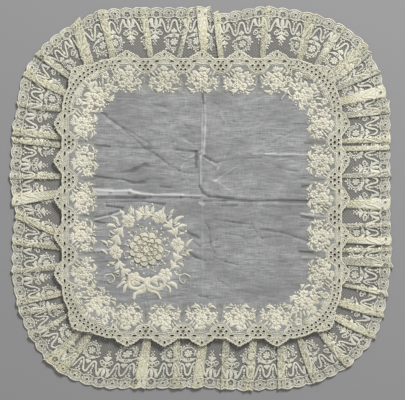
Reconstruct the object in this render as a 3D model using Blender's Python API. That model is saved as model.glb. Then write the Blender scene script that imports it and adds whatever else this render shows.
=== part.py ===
"""Lace handkerchief, laid flat: a square of fine lawn with a scalloped, embroidered edge, and a frill of
bobbin lace sewn behind that edge and pressed into pleats.

The handkerchief lies on the plane z = 0, seen from above with +Y up the picture. Places round it are
measured clockwise along a middle line that runs half way out across the frill, a square with round corners,
from the left end of its top side. Distances across are measured outwards from that line.
"""

import math

import bmesh
import bpy
import numpy as np

MM = 0.001

# The middle line of the frill, in millimetres.
HALF = 179.3
CORNER = 85.8
STRAIGHT = 2 * (HALF - CORNER)
QUARTER = math.pi / 2 * CORNER
ROUND = 4 * (STRAIGHT + QUARTER)

# The cloth: its thickness as a solid, and the pitch of layers folded on each other.
CLOTH = 1.0
PITCH = 1.35
FLOOR_LAYER = CLOTH / 2
TURN = PITCH / 2
CLEAR = 0.35

# The frill, from its gathered heading behind the lawn to its outer edge.
HEADING = -28.6
ROWS_ACROSS = (0.0, 0.25, 1.0)
RAMP = 4.5
REPEAT = 40.3
SCALLOP = REPEAT / 3
SCALLOP_DEPTH = 1.7
BILLOW = 1.6

# One row for each pleat: where its folded edge meets the outer edge and the heading, how far the cloth
# doubles back there, the side that the edge shows on, and how far out the lace reaches at its two turns.
FOLD_COLUMNS = ("edge_out", "edge_in", "lap_out", "lap_in", "side", "reach_b", "reach_a")
FOLDS = (
    (32, 41, 6.5, 4.5, +1, 31.5, 31),
    (84, 70, 3, 4, +1, 31, 31),
    (86.5, 93, 12, 4, -1, 29, 32),
    (105, 112, 6.5, 4.5, -1, 27, 24.5),
    (169, 163, 7.5, 4.5, +1, 33, 32),
    (213, 211, 7.5, 7.5, +1, 29, 28),
    (239, 239, 7, 7.5, +1, 29.5, 29),
    (256, 256, 6.5, 8.5, -1, 29, 30.5),
    (269, 274, 5, 6, +1, 29.5, 28),
    (287, 286, 5.5, 6.5, +1, 27.5, 26),
    (297, 297, 9.5, 10, -1, 25, 25.5),
    (322, 328, 6.5, 5.5, +1, 27, 28),
    (354, 355, 4.5, 3.5, +1, 29, 28),
    (362, 363.5, 4.5, 4, +1, 28, 27.5),
    (392, 393, 6.5, 3, +1, 29.5, 28),
    (416, 418, 11, 5.5, -1, 27.5, 28),
    (442, 443, 3.5, 3, -1, 28, 28.5),
    (467, 464, 6.5, 5.5, +1, 29.5, 29),
    (470, 470, 3, 3, -1, 29, 30),
    (492, 488, 12, 6.5, +1, 31, 28),
    (521, 513, 3, 3.5, +1, 26.5, 26),
    (538, 544.5, 5.5, 8.5, +1, 28, 25.5),
    (557, 567, 3.5, 8.5, +1, 29.5, 27.5),
    (591, 597, 5.5, 7.5, +1, 29, 28),
    (622, 629, 5.5, 7.5, +1, 29, 28),
    (654, 654.5, 7.5, 6.5, +1, 31, 30.5),
    (681, 676, 8, 6.5, -1, 32, 32.5),
    (717, 714, 6.5, 6.5, +1, 31.5, 31),
    (749, 739, 11, 7.5, +1, 30.5, 29),
    (761, 761, 7.5, 5.5, -1, 29, 30),
    (799, 792, 11, 7.5, -1, 29, 30),
    (876, 867, 9, 6.5, -1, 29, 31),
    (897, 890, 8, 5, +1, 31.5, 29),
    (920, 919, 3, 4.5, +1, 28, 27),
    (943, 934, 3.5, 4.5, +1, 27, 26),
    (946, 946, 5, 6.5, -1, 26, 27),
    (980, 989, 3, 6.5, +1, 30.5, 30),
    (1008, 1001, 4, 5.5, -1, 29, 29.5),
    (1037, 1013, 8, 5, -1, 22.5, 26.5),
    (1050, 1061, 12, 6.5, -1, 28, 30),
    (1080, 1080, 3, 5.5, -1, 31, 32),
    (1120, 1114, 4, 4.5, -1, 29, 30),
    (1128, 1123, 7.5, 5.5, -1, 29, 29.5),
    (1163, 1162, 3, 6.5, +1, 25, 24.5),
    (1185, 1179, 6.5, 8.5, -1, 24, 26),
    (1205, 1205, 5.5, 6.5, -1, 25, 25),
    (1256, 1251, 7, 15, +1, 29, 24),
    (1270, 1276, 5.5, 8.5, -1, 27, 29.5),
)

# The lawn: the scallops of its edge, the heights at which it lies, and the rings that carry it down.
VALLEY = -25.3
PEAK = 8.0
PEAK_WIDTH = 26.0
CORNER_PEAK_WIDTH = 44.0
PICOT = 0.7
PEAKS_A_SIDE = 5
PEAK_PITCH = 41.2
SIDE_MIDDLES = tuple(STRAIGHT / 2 + n * (STRAIGHT + QUARTER) for n in range(4))
CORNER_MIDDLES = tuple(STRAIGHT + QUARTER / 2 + n * (STRAIGHT + QUARTER) for n in range(4))
BORDER_HEIGHT = FLOOR_LAYER + 2 * PITCH + CLOTH + CLEAR + 0.1
EDGE_STEPS = 264
RING_STEPS = 96
HELD_RING = -31.5
LOW_RING = -45.0
FIELD_CELLS = 18
FIELD_CLUSTER = 1.15

# The creases pressed into the lawn, each a ridge from one point to another: ends, height and half width.
CREASE_COLUMNS = ("x0", "y0", "x1", "y1", "height", "spread")
CREASES = (
    (-132, 10, -70, 5, 1.4, 10),
    (-70, 5, 0, 4.5, 1.5, 9),
    (0, 4.5, 18, 1.5, 1.4, 9),
    (18, 1.5, 66, -1.5, 1.6, 9),
    (66, -1.5, 132, 0, 1.3, 10),
    (2.5, 132, 1.5, 52, 1.4, 9),
    (1.5, 52, 0, 0, 1.3, 9),
    (0, 0, -1, -60, 0.8, 9),
    (-1, -60, -1, -132, 0.6, 9),
    (-130, 60, -80, 57, 1.0, 11),
    (-120, 26, -82, 21, 0.9, 11),
    (-128, -22, -86, -12, 0.9, 11),
    (92, 20, 132, 22, 0.9, 11),
    (96, -17, 132, -12, 0.9, 11),
)


def middle_line(place):
    """Points of the middle line at places along it, and the outward direction there, by stretches and arcs."""
    side, along = np.divmod(np.asarray(place, float) % ROUND, STRAIGHT + QUARTER)
    turn = np.clip((along - STRAIGHT) / QUARTER, 0, 1) * math.pi / 2
    across = np.minimum(along, STRAIGHT) - STRAIGHT / 2
    x = across + CORNER * np.sin(turn)
    y = STRAIGHT / 2 + CORNER * np.cos(turn)
    heading = side * math.pi / 2
    cos, sin = np.cos(heading), np.sin(heading)
    points = np.stack([x * cos + y * sin, y * cos - x * sin], axis=-1)
    outward = np.stack([np.sin(turn + heading), np.cos(turn + heading)], axis=-1)
    return points, outward


def placed(place, across, height):
    """Points in millimetres at a place round the handkerchief, a distance across it and a height."""
    points, outward = middle_line(place)
    flat = points + outward * np.asarray(across, float)[..., None]
    heights = np.broadcast_to(np.asarray(height, float), flat.shape[:-1])
    return np.concatenate([flat, heights[..., None]], axis=-1)


def pleat_turns():
    """Each pleat's two turns: b, which the cloth reaches first, and a, which it doubles back to."""
    turns = []
    for row in FOLDS:
        fold = dict(zip(FOLD_COLUMNS, row))
        ahead = fold["side"] < 0
        fold["b_out"] = fold["edge_out"] + (fold["lap_out"] if ahead else 0)
        fold["b_in"] = fold["edge_in"] + (fold["lap_in"] if ahead else 0)
        fold["a_out"] = fold["b_out"] - fold["lap_out"]
        fold["a_in"] = fold["b_in"] - fold["lap_in"]
        turns.append(fold)
    return turns


def hairpin(out, into, way, upper, lower, reach):
    """Three knots of a tight turn: into it on one layer, its tip, and out of it on the next layer."""
    return [
        (out - way * TURN, into - way * TURN, upper, reach),
        (out, into, (upper + lower) / 2, reach),
        (out - way * TURN, into - way * TURN, lower, reach),
    ]


def frill_knots():
    """The path of the frill as knots: place at the outer edge, place at the heading, layer, and reach.

    Going clockwise the cloth runs on to turn b, back to turn a and on again. Where the folded edge shows at
    b the cloth comes in on top and leaves at the bottom, and where it shows at a it is the other way round.
    """
    turns = pleat_turns()
    knots = []
    for i, fold in enumerate(turns):
        before = turns[i - 1]
        lap_round = ROUND if i == 0 else 0
        gap_out = fold["a_out"] - before["b_out"] + lap_round
        gap_in = fold["a_in"] - before["b_in"] + lap_round
        from_top = before["side"] < 0
        to_top = fold["side"] > 0
        gap = min(gap_out, gap_in)
        start_out, start_in = before["b_out"] - lap_round, before["b_in"] - lap_round
        reaches = (before["reach_a"], fold["reach_a"])
        if from_top and to_top and gap < 2 * RAMP:
            low = 2 * (1 - gap / (2 * RAMP))
            knots.append((start_out, start_in, 2, reaches[0]))
            knots.append((start_out + gap_out / 2, start_in + gap_in / 2, low, sum(reaches) / 2))
            knots.append((fold["a_out"], fold["a_in"], 2, reaches[1]))
        else:
            ramp_out = min(RAMP, gap_out - 0.2)
            ramp_in = min(RAMP, gap_in - 0.2)
            first_out = start_out + (ramp_out if from_top else 0)
            first_in = start_in + (ramp_in if from_top else 0)
            last_out = fold["a_out"] - (ramp_out if to_top else 0)
            last_in = fold["a_in"] - (ramp_in if to_top else 0)
            if from_top:
                knots.append((start_out, start_in, 2, reaches[0]))
                knots.append(((start_out + first_out) / 2, (start_in + first_in) / 2, 1.1, reaches[0]))
            steps = max(1, round((last_out - first_out) / (SCALLOP / 2)))
            for k in range(steps + 1):
                f = k / steps
                reach = reaches[0] + (reaches[1] - reaches[0]) * f
                knots.append(
                    (first_out + (last_out - first_out) * f, first_in + (last_in - first_in) * f, 0, reach)
                )
            if to_top:
                knots.append(
                    ((last_out + fold["a_out"]) / 2, (last_in + fold["a_in"]) / 2, 1.1, reaches[1])
                )
                knots.append((fold["a_out"], fold["a_in"], 2, reaches[1]))
        levels = (2, 1, 0) if to_top else (0, 1, 2)
        knots += hairpin(fold["b_out"], fold["b_in"], +1, levels[0], levels[1], fold["reach_b"])
        knots += hairpin(fold["a_out"], fold["a_in"], -1, levels[1], levels[2], fold["reach_a"])
    return np.array(knots, float)


def cloth_lengths(knots):
    """How far along the strip of lace each knot lies, measured near the outer edge, and the whole length."""
    outer = placed(knots[:, 0], knots[:, 3] * 0.8, 0)
    steps = np.linalg.norm(np.roll(outer, -1, axis=0) - outer, axis=1)
    steps = np.hypot(steps, (np.roll(knots[:, 2], -1) - knots[:, 2]) * PITCH)
    return np.concatenate([[0], np.cumsum(steps)[:-1]]), steps.sum()


def unit(vectors):
    return vectors / np.maximum(np.linalg.norm(vectors, axis=-1, keepdims=True), 1e-9)


def frill_surface():
    """The middle surface of the frill: rows of points across it at each knot of its path."""
    knots = frill_knots()
    along, whole = cloth_lengths(knots)
    scallops = round(whole / SCALLOP)
    phase = along / whole * scallops
    edge = knots[:, 3] - SCALLOP_DEPTH * (1 - np.abs(np.sin(math.pi * phase)))
    wave = BILLOW * (0.5 + 0.5 * np.sin(along * 0.13) * np.cos(along * 0.071 + 1))
    lifted = wave * (knots[:, 2] < 0.01)
    lifted = np.minimum(lifted, np.minimum(np.roll(lifted, 1) + 0.8, np.roll(lifted, -1) + 0.8))
    rows = []
    for t in ROWS_ACROSS:
        place = knots[:, 1] + (knots[:, 0] - knots[:, 1]) * t
        across = HEADING + (edge - HEADING) * t
        height = FLOOR_LAYER + PITCH * knots[:, 2] + lifted * (t == ROWS_ACROSS[-1])
        rows.append(placed(place, across, height))
    return np.stack(rows, axis=1)


def thick_normals(surface):
    """Directions square to a folded sheet, lengthened at each bend so that the cloth keeps its thickness."""
    ahead = unit(np.roll(surface, -1, axis=0) - surface)
    outward = unit(np.gradient(surface, axis=1))
    flat = unit(np.cross(outward, ahead))
    flat_before = np.roll(flat, 1, axis=0)
    middle = unit(flat + flat_before)
    lean = np.clip((middle * flat).sum(axis=-1, keepdims=True), 0.75, 1)
    return middle / lean


def mesh_object(name, points, faces, colour, roughness):
    """A mesh of points in millimetres as an object with its own material."""
    mesh = bpy.data.meshes.new(name)
    mesh.from_pydata([tuple(p * MM) for p in points], [], faces)
    body = bmesh.new()
    body.from_mesh(mesh)
    bmesh.ops.recalc_face_normals(body, faces=body.faces[:])
    bmesh.ops.triangulate(body, faces=body.faces[:], quad_method="SHORT_EDGE")
    body.to_mesh(mesh)
    body.free()
    mesh.shade_smooth()
    mesh.set_sharp_from_angle(angle=math.radians(50))
    material = bpy.data.materials.new(name)
    material.use_nodes = True
    shader = material.node_tree.nodes["Principled BSDF"]
    shader.inputs["Base Color"].default_value = (*colour, 1)
    shader.inputs["Roughness"].default_value = roughness
    shader.inputs["Metallic"].default_value = 0
    mesh.materials.append(material)
    thing = bpy.data.objects.new(name, mesh)
    bpy.context.scene.collection.objects.link(thing)
    return thing


def lace_frill(shift):
    """The frill: its folded middle surface given the cloth's thickness, as one closed ring."""
    surface = frill_surface() + shift
    normals = thick_normals(surface)
    knots, rows = surface.shape[:2]
    upper = (surface + normals * CLOTH / 2).reshape(-1, 3)
    lower = (surface - normals * CLOTH / 2).reshape(-1, 3)
    below = len(upper)
    faces = []
    for k in range(knots):
        here, there = k * rows, (k + 1) % knots * rows
        for r in range(rows - 1):
            faces.append((here + r, here + r + 1, there + r + 1, there + r))
            faces.append(tuple(below + v for v in (here + r, there + r, there + r + 1, here + r + 1)))
        for r in (0, rows - 1):
            faces.append((here + r, there + r, below + there + r, below + here + r))
    return mesh_object("lace_frill", np.concatenate([upper, lower]), faces, (0.72, 0.69, 0.56), 0.85)


def peak_places():
    """Places round the lawn's edge of the tips of its scallops, with each one's width."""
    first = -(PEAKS_A_SIDE - 1) / 2
    sides = [
        (middle + (first + n) * PEAK_PITCH, PEAK_WIDTH) for middle in SIDE_MIDDLES for n in range(PEAKS_A_SIDE)
    ]
    return sides + [(middle, CORNER_PEAK_WIDTH) for middle in CORNER_MIDDLES]


def lawn_edge(place):
    """How far out the lawn reaches: a valley line with a pointed, picot-edged scallop at each peak."""
    reach = np.full(np.shape(place), VALLEY)
    for peak, width in peak_places():
        off = np.abs((place - peak + ROUND / 2) % ROUND - ROUND / 2) / (width / 2)
        rise = PEAK * np.clip(1 - off, 0, 1) ** 0.85
        picots = PICOT * np.abs(np.sin(off * 2.5 * math.pi)) * (off < 1)
        reach = np.maximum(reach, VALLEY + rise + picots)
    return reach


def crease_height(x, y):
    """Height of the pressed creases: a rounded ridge along each line of the table, the highest one counting."""
    height = np.zeros(np.shape(x))
    for row in CREASES:
        crease = dict(zip(CREASE_COLUMNS, row))
        dx, dy = crease["x1"] - crease["x0"], crease["y1"] - crease["y0"]
        share = ((x - crease["x0"]) * dx + (y - crease["y0"]) * dy) / (dx * dx + dy * dy)
        share = np.clip(share, 0, 1)
        away = np.hypot(x - crease["x0"] - share * dx, y - crease["y0"] - share * dy)
        ridge = crease["height"] * (0.5 + 0.5 * np.cos(math.pi * np.clip(away / crease["spread"], 0, 1)))
        height = np.maximum(height, ridge)
    return height


def field_points():
    """A square grid of the lawn's field, drawn in to the round-cornered ring at which the field ends.

    A second array gives for each point the share of the way round at which a line from the middle meets it.
    """
    steps = np.arange(-FIELD_CELLS, FIELD_CELLS + 1) / FIELD_CELLS
    steps = np.sign(steps) * np.abs(steps) ** FIELD_CLUSTER
    across, up = np.meshgrid(steps, steps)
    ring = np.maximum(np.maximum(np.abs(across), np.abs(up)), 1e-9)
    side_across, side_up = across / ring, up / ring
    flat_step = np.select(
        [side_up >= 1 - 1e-9, side_across >= 1 - 1e-9, side_up <= -1 + 1e-9],
        [side_across, 2 - side_up, 4 - side_across],
        6 + side_up,
    )
    place = STRAIGHT / 2 + flat_step * (STRAIGHT + QUARTER) / 2
    return placed(place, LOW_RING, 0) * ring[..., None], (place / ROUND) % 1


def stitched(first, second):
    """Triangles between two closed rings of points, given as (index, share of the way round) in order."""
    faces, i, j = [], 0, 0
    n, m = len(first), len(second)
    while i < n or j < m:
        next_first = first[i + 1][1] if i + 1 < n else 1 + first[0][1]
        next_second = second[j + 1][1] if j + 1 < m else 1 + second[0][1]
        if j == m or (i < n and next_first <= next_second):
            faces.append((first[i % n][0], second[j % m][0], first[(i + 1) % n][0]))
            i += 1
        else:
            faces.append((first[i % n][0], second[j % m][0], second[(j + 1) % m][0]))
            j += 1
    return faces


def lawn_square(shift):
    """The lawn: a sheet whose field lies low and whose embroidered border lies over the frill's heading."""
    grid, share = field_points()
    size = grid.shape[0]
    grid[..., 2] = FLOOR_LAYER + crease_height(grid[..., 0], grid[..., 1])
    points = [grid.reshape(-1, 3)]
    faces = []
    for row in range(size - 1):
        for column in range(size - 1):
            here = row * size + column
            faces.append((here, here + 1, here + size + 1, here + size))
    last = size - 1
    rim = [last * size + c for c in range(size)]
    rim += [r * size + last for r in range(last - 1, -1, -1)]
    rim += [c for c in range(last - 1, -1, -1)]
    rim += [r * size for r in range(1, last)]
    rings = [sorted(((v, share.flat[v]) for v in rim), key=lambda entry: entry[1])]
    count = size * size
    for across, steps, height in (
        (HELD_RING, RING_STEPS, BORDER_HEIGHT),
        (None, EDGE_STEPS, BORDER_HEIGHT),
    ):
        place = np.arange(steps) / steps * ROUND
        reach = lawn_edge(place) if across is None else np.full(steps, across)
        points.append(placed(place, reach, height))
        rings.append([(count + n, n / steps) for n in range(steps)])
        count += steps
    for inner, outer in zip(rings, rings[1:]):
        faces += stitched(inner, outer)
    surface = np.concatenate(points) + shift
    up = np.array([0, 0, CLOTH / 2])
    solid = np.concatenate([surface + up, surface - up])
    under = [tuple(count + v for v in reversed(face)) for face in faces]
    edge = [v for v, _ in rings[-1]]
    walls = [
        (edge[n], edge[(n + 1) % len(edge)], count + edge[(n + 1) % len(edge)], count + edge[n])
        for n in range(len(edge))
    ]
    return mesh_object("lawn_square", solid, faces + under + walls, (0.62, 0.62, 0.6), 0.8)


def centring():
    """The shift that centres the frill's outline on the origin."""
    outline = frill_surface()[:, -1, :2]
    middle = (outline.min(axis=0) + outline.max(axis=0)) / 2
    return np.array([-middle[0], -middle[1], 0])


def main():
    for thing in list(bpy.data.objects):
        bpy.data.objects.remove(thing)
    shift = centring()
    lace_frill(shift)
    lawn_square(shift)


main()
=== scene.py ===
"""A lace handkerchief laid flat: sheer lawn with an embroidered, scalloped edge, and a pleated frill of lace.

Lengths in the tables and functions are millimetres. Places round the handkerchief are measured clockwise,
seen from above, along a middle line that runs half way out across the frill: a square with round corners,
from the left end of its top side. Distances across are measured outwards from that line.
"""

import math

import bpy
import numpy as np
from bpy.props import FloatProperty, FloatVectorProperty, IntProperty, PointerProperty
from bpy.types import Operator, Panel, PropertyGroup
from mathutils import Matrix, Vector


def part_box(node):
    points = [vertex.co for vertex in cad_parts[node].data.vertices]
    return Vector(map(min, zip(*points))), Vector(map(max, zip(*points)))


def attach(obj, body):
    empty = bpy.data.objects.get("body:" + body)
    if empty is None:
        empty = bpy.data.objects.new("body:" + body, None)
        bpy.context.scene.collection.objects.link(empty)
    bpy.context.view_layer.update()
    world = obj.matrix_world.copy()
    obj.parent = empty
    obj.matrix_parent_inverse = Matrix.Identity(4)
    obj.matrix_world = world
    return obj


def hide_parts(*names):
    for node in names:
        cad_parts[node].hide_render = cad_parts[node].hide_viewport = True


bl_info = {
    "name": "Lace Handkerchief",
    "version": (1, 0, 0),
    "blender": (4, 5, 0),
    "location": "3D Viewport > Sidebar > Handkerchief",
    "description": "Makes the lawn, the embroidery and the pleated lace frill of a handkerchief",
    "category": "Object",
}

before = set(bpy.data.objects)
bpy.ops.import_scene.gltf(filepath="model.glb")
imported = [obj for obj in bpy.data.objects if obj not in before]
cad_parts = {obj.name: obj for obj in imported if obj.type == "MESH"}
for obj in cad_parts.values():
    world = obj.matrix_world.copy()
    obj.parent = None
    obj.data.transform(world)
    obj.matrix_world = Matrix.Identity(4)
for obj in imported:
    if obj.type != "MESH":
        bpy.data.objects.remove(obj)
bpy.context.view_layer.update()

MM = 0.001
LAWN_LOW, LAWN_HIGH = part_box("lawn_square")
SHIFT = np.array([(LAWN_LOW[i] + LAWN_HIGH[i]) / 2 / MM for i in (0, 1)] + [0])

# The middle line of the frill.
HALF = 179.3
CORNER = 85.8
STRAIGHT = 2 * (HALF - CORNER)
QUARTER = math.pi / 2 * CORNER
ROUND = 4 * (STRAIGHT + QUARTER)
SIDE_MIDDLES = tuple(STRAIGHT / 2 + n * (STRAIGHT + QUARTER) for n in range(4))
CORNER_MIDDLES = tuple(STRAIGHT + QUARTER / 2 + n * (STRAIGHT + QUARTER) for n in range(4))

# How the cloth lies: its lowest layer, and the pitch of its layers at the outer edge and at the heading.
FLOOR_LAYER = 0.5
PITCH = 0.85
PINCHED_PITCH = 0.5

# The frill and the repeat of its lace.
HEADING = -28.6
REACH = 29.0
RAMP = 4.5
REPEAT = 40.3
SCALLOP = REPEAT / 3
SCALLOP_DEPTH = 1.9

# One row for each pleat: where its folded edge meets the outer edge and the heading, how far the cloth
# doubles back there, the side that the edge shows on, how far out the lace reaches at its two turns, how
# yellow it is, and how much of the lace's design its hidden turn passes over. START is where in its design
# the lace begins.
START = 15.1
FOLD_COLUMNS = ("edge_out", "edge_in", "lap_out", "lap_in", "side", "reach_b", "reach_a", "tone", "skip")
FOLDS = (
    (32, 41, 6.5, 4.5, +1, 31.5, 31, 0.6, 32.5),
    (84, 70, 3, 4, +1, 31, 31, 0.3, 0),
    (86.5, 93, 12, 4, -1, 29, 32, 0.9, 0),
    (105, 112, 6.5, 4.5, -1, 27, 24.5, 0.7, 19.5),
    (169, 163, 7.5, 4.5, +1, 33, 32, 0.5, 37.5),
    (213, 211, 7.5, 7.5, +1, 29, 28, 0.5, 36),
    (239, 239, 7, 7.5, +1, 29.5, 29, 0.2, 24.5),
    (256, 256, 6.5, 8.5, -1, 29, 30.5, 0.6, 0),
    (269, 274, 5, 6, +1, 29.5, 28, 0.2, 17),
    (287, 286, 5.5, 6.5, +1, 27.5, 26, 0.2, 37.5),
    (297, 297, 9.5, 10, -1, 25, 25.5, 1.0, 0),
    (322, 328, 6.5, 5.5, +1, 27, 28, 0.3, 24),
    (354, 355, 4.5, 3.5, +1, 29, 28, 0.6, 0),
    (362, 363.5, 4.5, 4, +1, 28, 27.5, 0.8, 0),
    (392, 393, 6.5, 3, +1, 29.5, 28, 0.2, 30.5),
    (416, 418, 11, 5.5, -1, 27.5, 28, 0.9, 0),
    (442, 443, 3.5, 3, -1, 28, 28.5, 0.2, 30.5),
    (467, 464, 6.5, 5.5, +1, 29.5, 29, 1.0, 0),
    (470, 470, 3, 3, -1, 29, 30, 0.6, 0),
    (492, 488, 12, 6.5, +1, 31, 28, 0.3, 22),
    (521, 513, 3, 3.5, +1, 26.5, 26, 0.5, 34),
    (538, 544.5, 5.5, 8.5, +1, 28, 25.5, 0.7, 0),
    (557, 567, 3.5, 8.5, +1, 29.5, 27.5, 0.7, 36),
    (591, 597, 5.5, 7.5, +1, 29, 28, 0.4, 30.5),
    (622, 629, 5.5, 7.5, +1, 29, 28, 0.4, 28.5),
    (654, 654.5, 7.5, 6.5, +1, 31, 30.5, 0.4, 34),
    (681, 676, 8, 6.5, -1, 32, 32.5, 0.5, 4),
    (717, 714, 6.5, 6.5, +1, 31.5, 31, 0.4, 3),
    (749, 739, 11, 7.5, +1, 30.5, 29, 0.7, 9),
    (761, 761, 7.5, 5.5, -1, 29, 30, 0.5, 2.5),
    (799, 792, 11, 7.5, -1, 29, 30, 0.8, 0),
    (876, 867, 9, 6.5, -1, 29, 31, 0.5, 0),
    (897, 890, 8, 5, +1, 31.5, 29, 0.6, 25),
    (920, 919, 3, 4.5, +1, 28, 27, 0.3, 29.5),
    (943, 934, 3.5, 4.5, +1, 27, 26, 0.4, 0),
    (946, 946, 5, 6.5, -1, 26, 27, 0.5, 32.5),
    (980, 989, 3, 6.5, +1, 30.5, 30, 0.4, 30),
    (1008, 1001, 4, 5.5, -1, 29, 29.5, 0.5, 35.5),
    (1037, 1013, 8, 5, -1, 22.5, 26.5, 0.6, 0),
    (1050, 1061, 12, 6.5, -1, 28, 30, 0.9, 22.5),
    (1080, 1080, 3, 5.5, -1, 31, 32, 0.4, 0),
    (1120, 1114, 4, 4.5, -1, 29, 30, 0.6, 0),
    (1128, 1123, 7.5, 5.5, -1, 29, 29.5, 0.6, 38),
    (1163, 1162, 3, 6.5, +1, 25, 24.5, 0.3, 26.5),
    (1185, 1179, 6.5, 8.5, -1, 24, 26, 0.6, 2),
    (1205, 1205, 5.5, 6.5, -1, 25, 25, 0.3, 25.5),
    (1256, 1251, 7, 15, +1, 29, 24, 0.6, 5.5),
    (1270, 1276, 5.5, 8.5, -1, 27, 29.5, 0.6, 8.6),
)

# The lawn: the scallops of its edge, and the rings between which it sinks from the frill to the surface.
VALLEY = -25.3
PEAK = 8.0
PEAK_WIDTH = 26.0
CORNER_PEAK_WIDTH = 44.0
PICOT = 1.4
PEAKS_A_SIDE = 5
PEAK_PITCH = 41.2
BORDER_HEIGHT = 2.5
HELD_RING = -31.0
LOW_RING = -58.0

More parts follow.
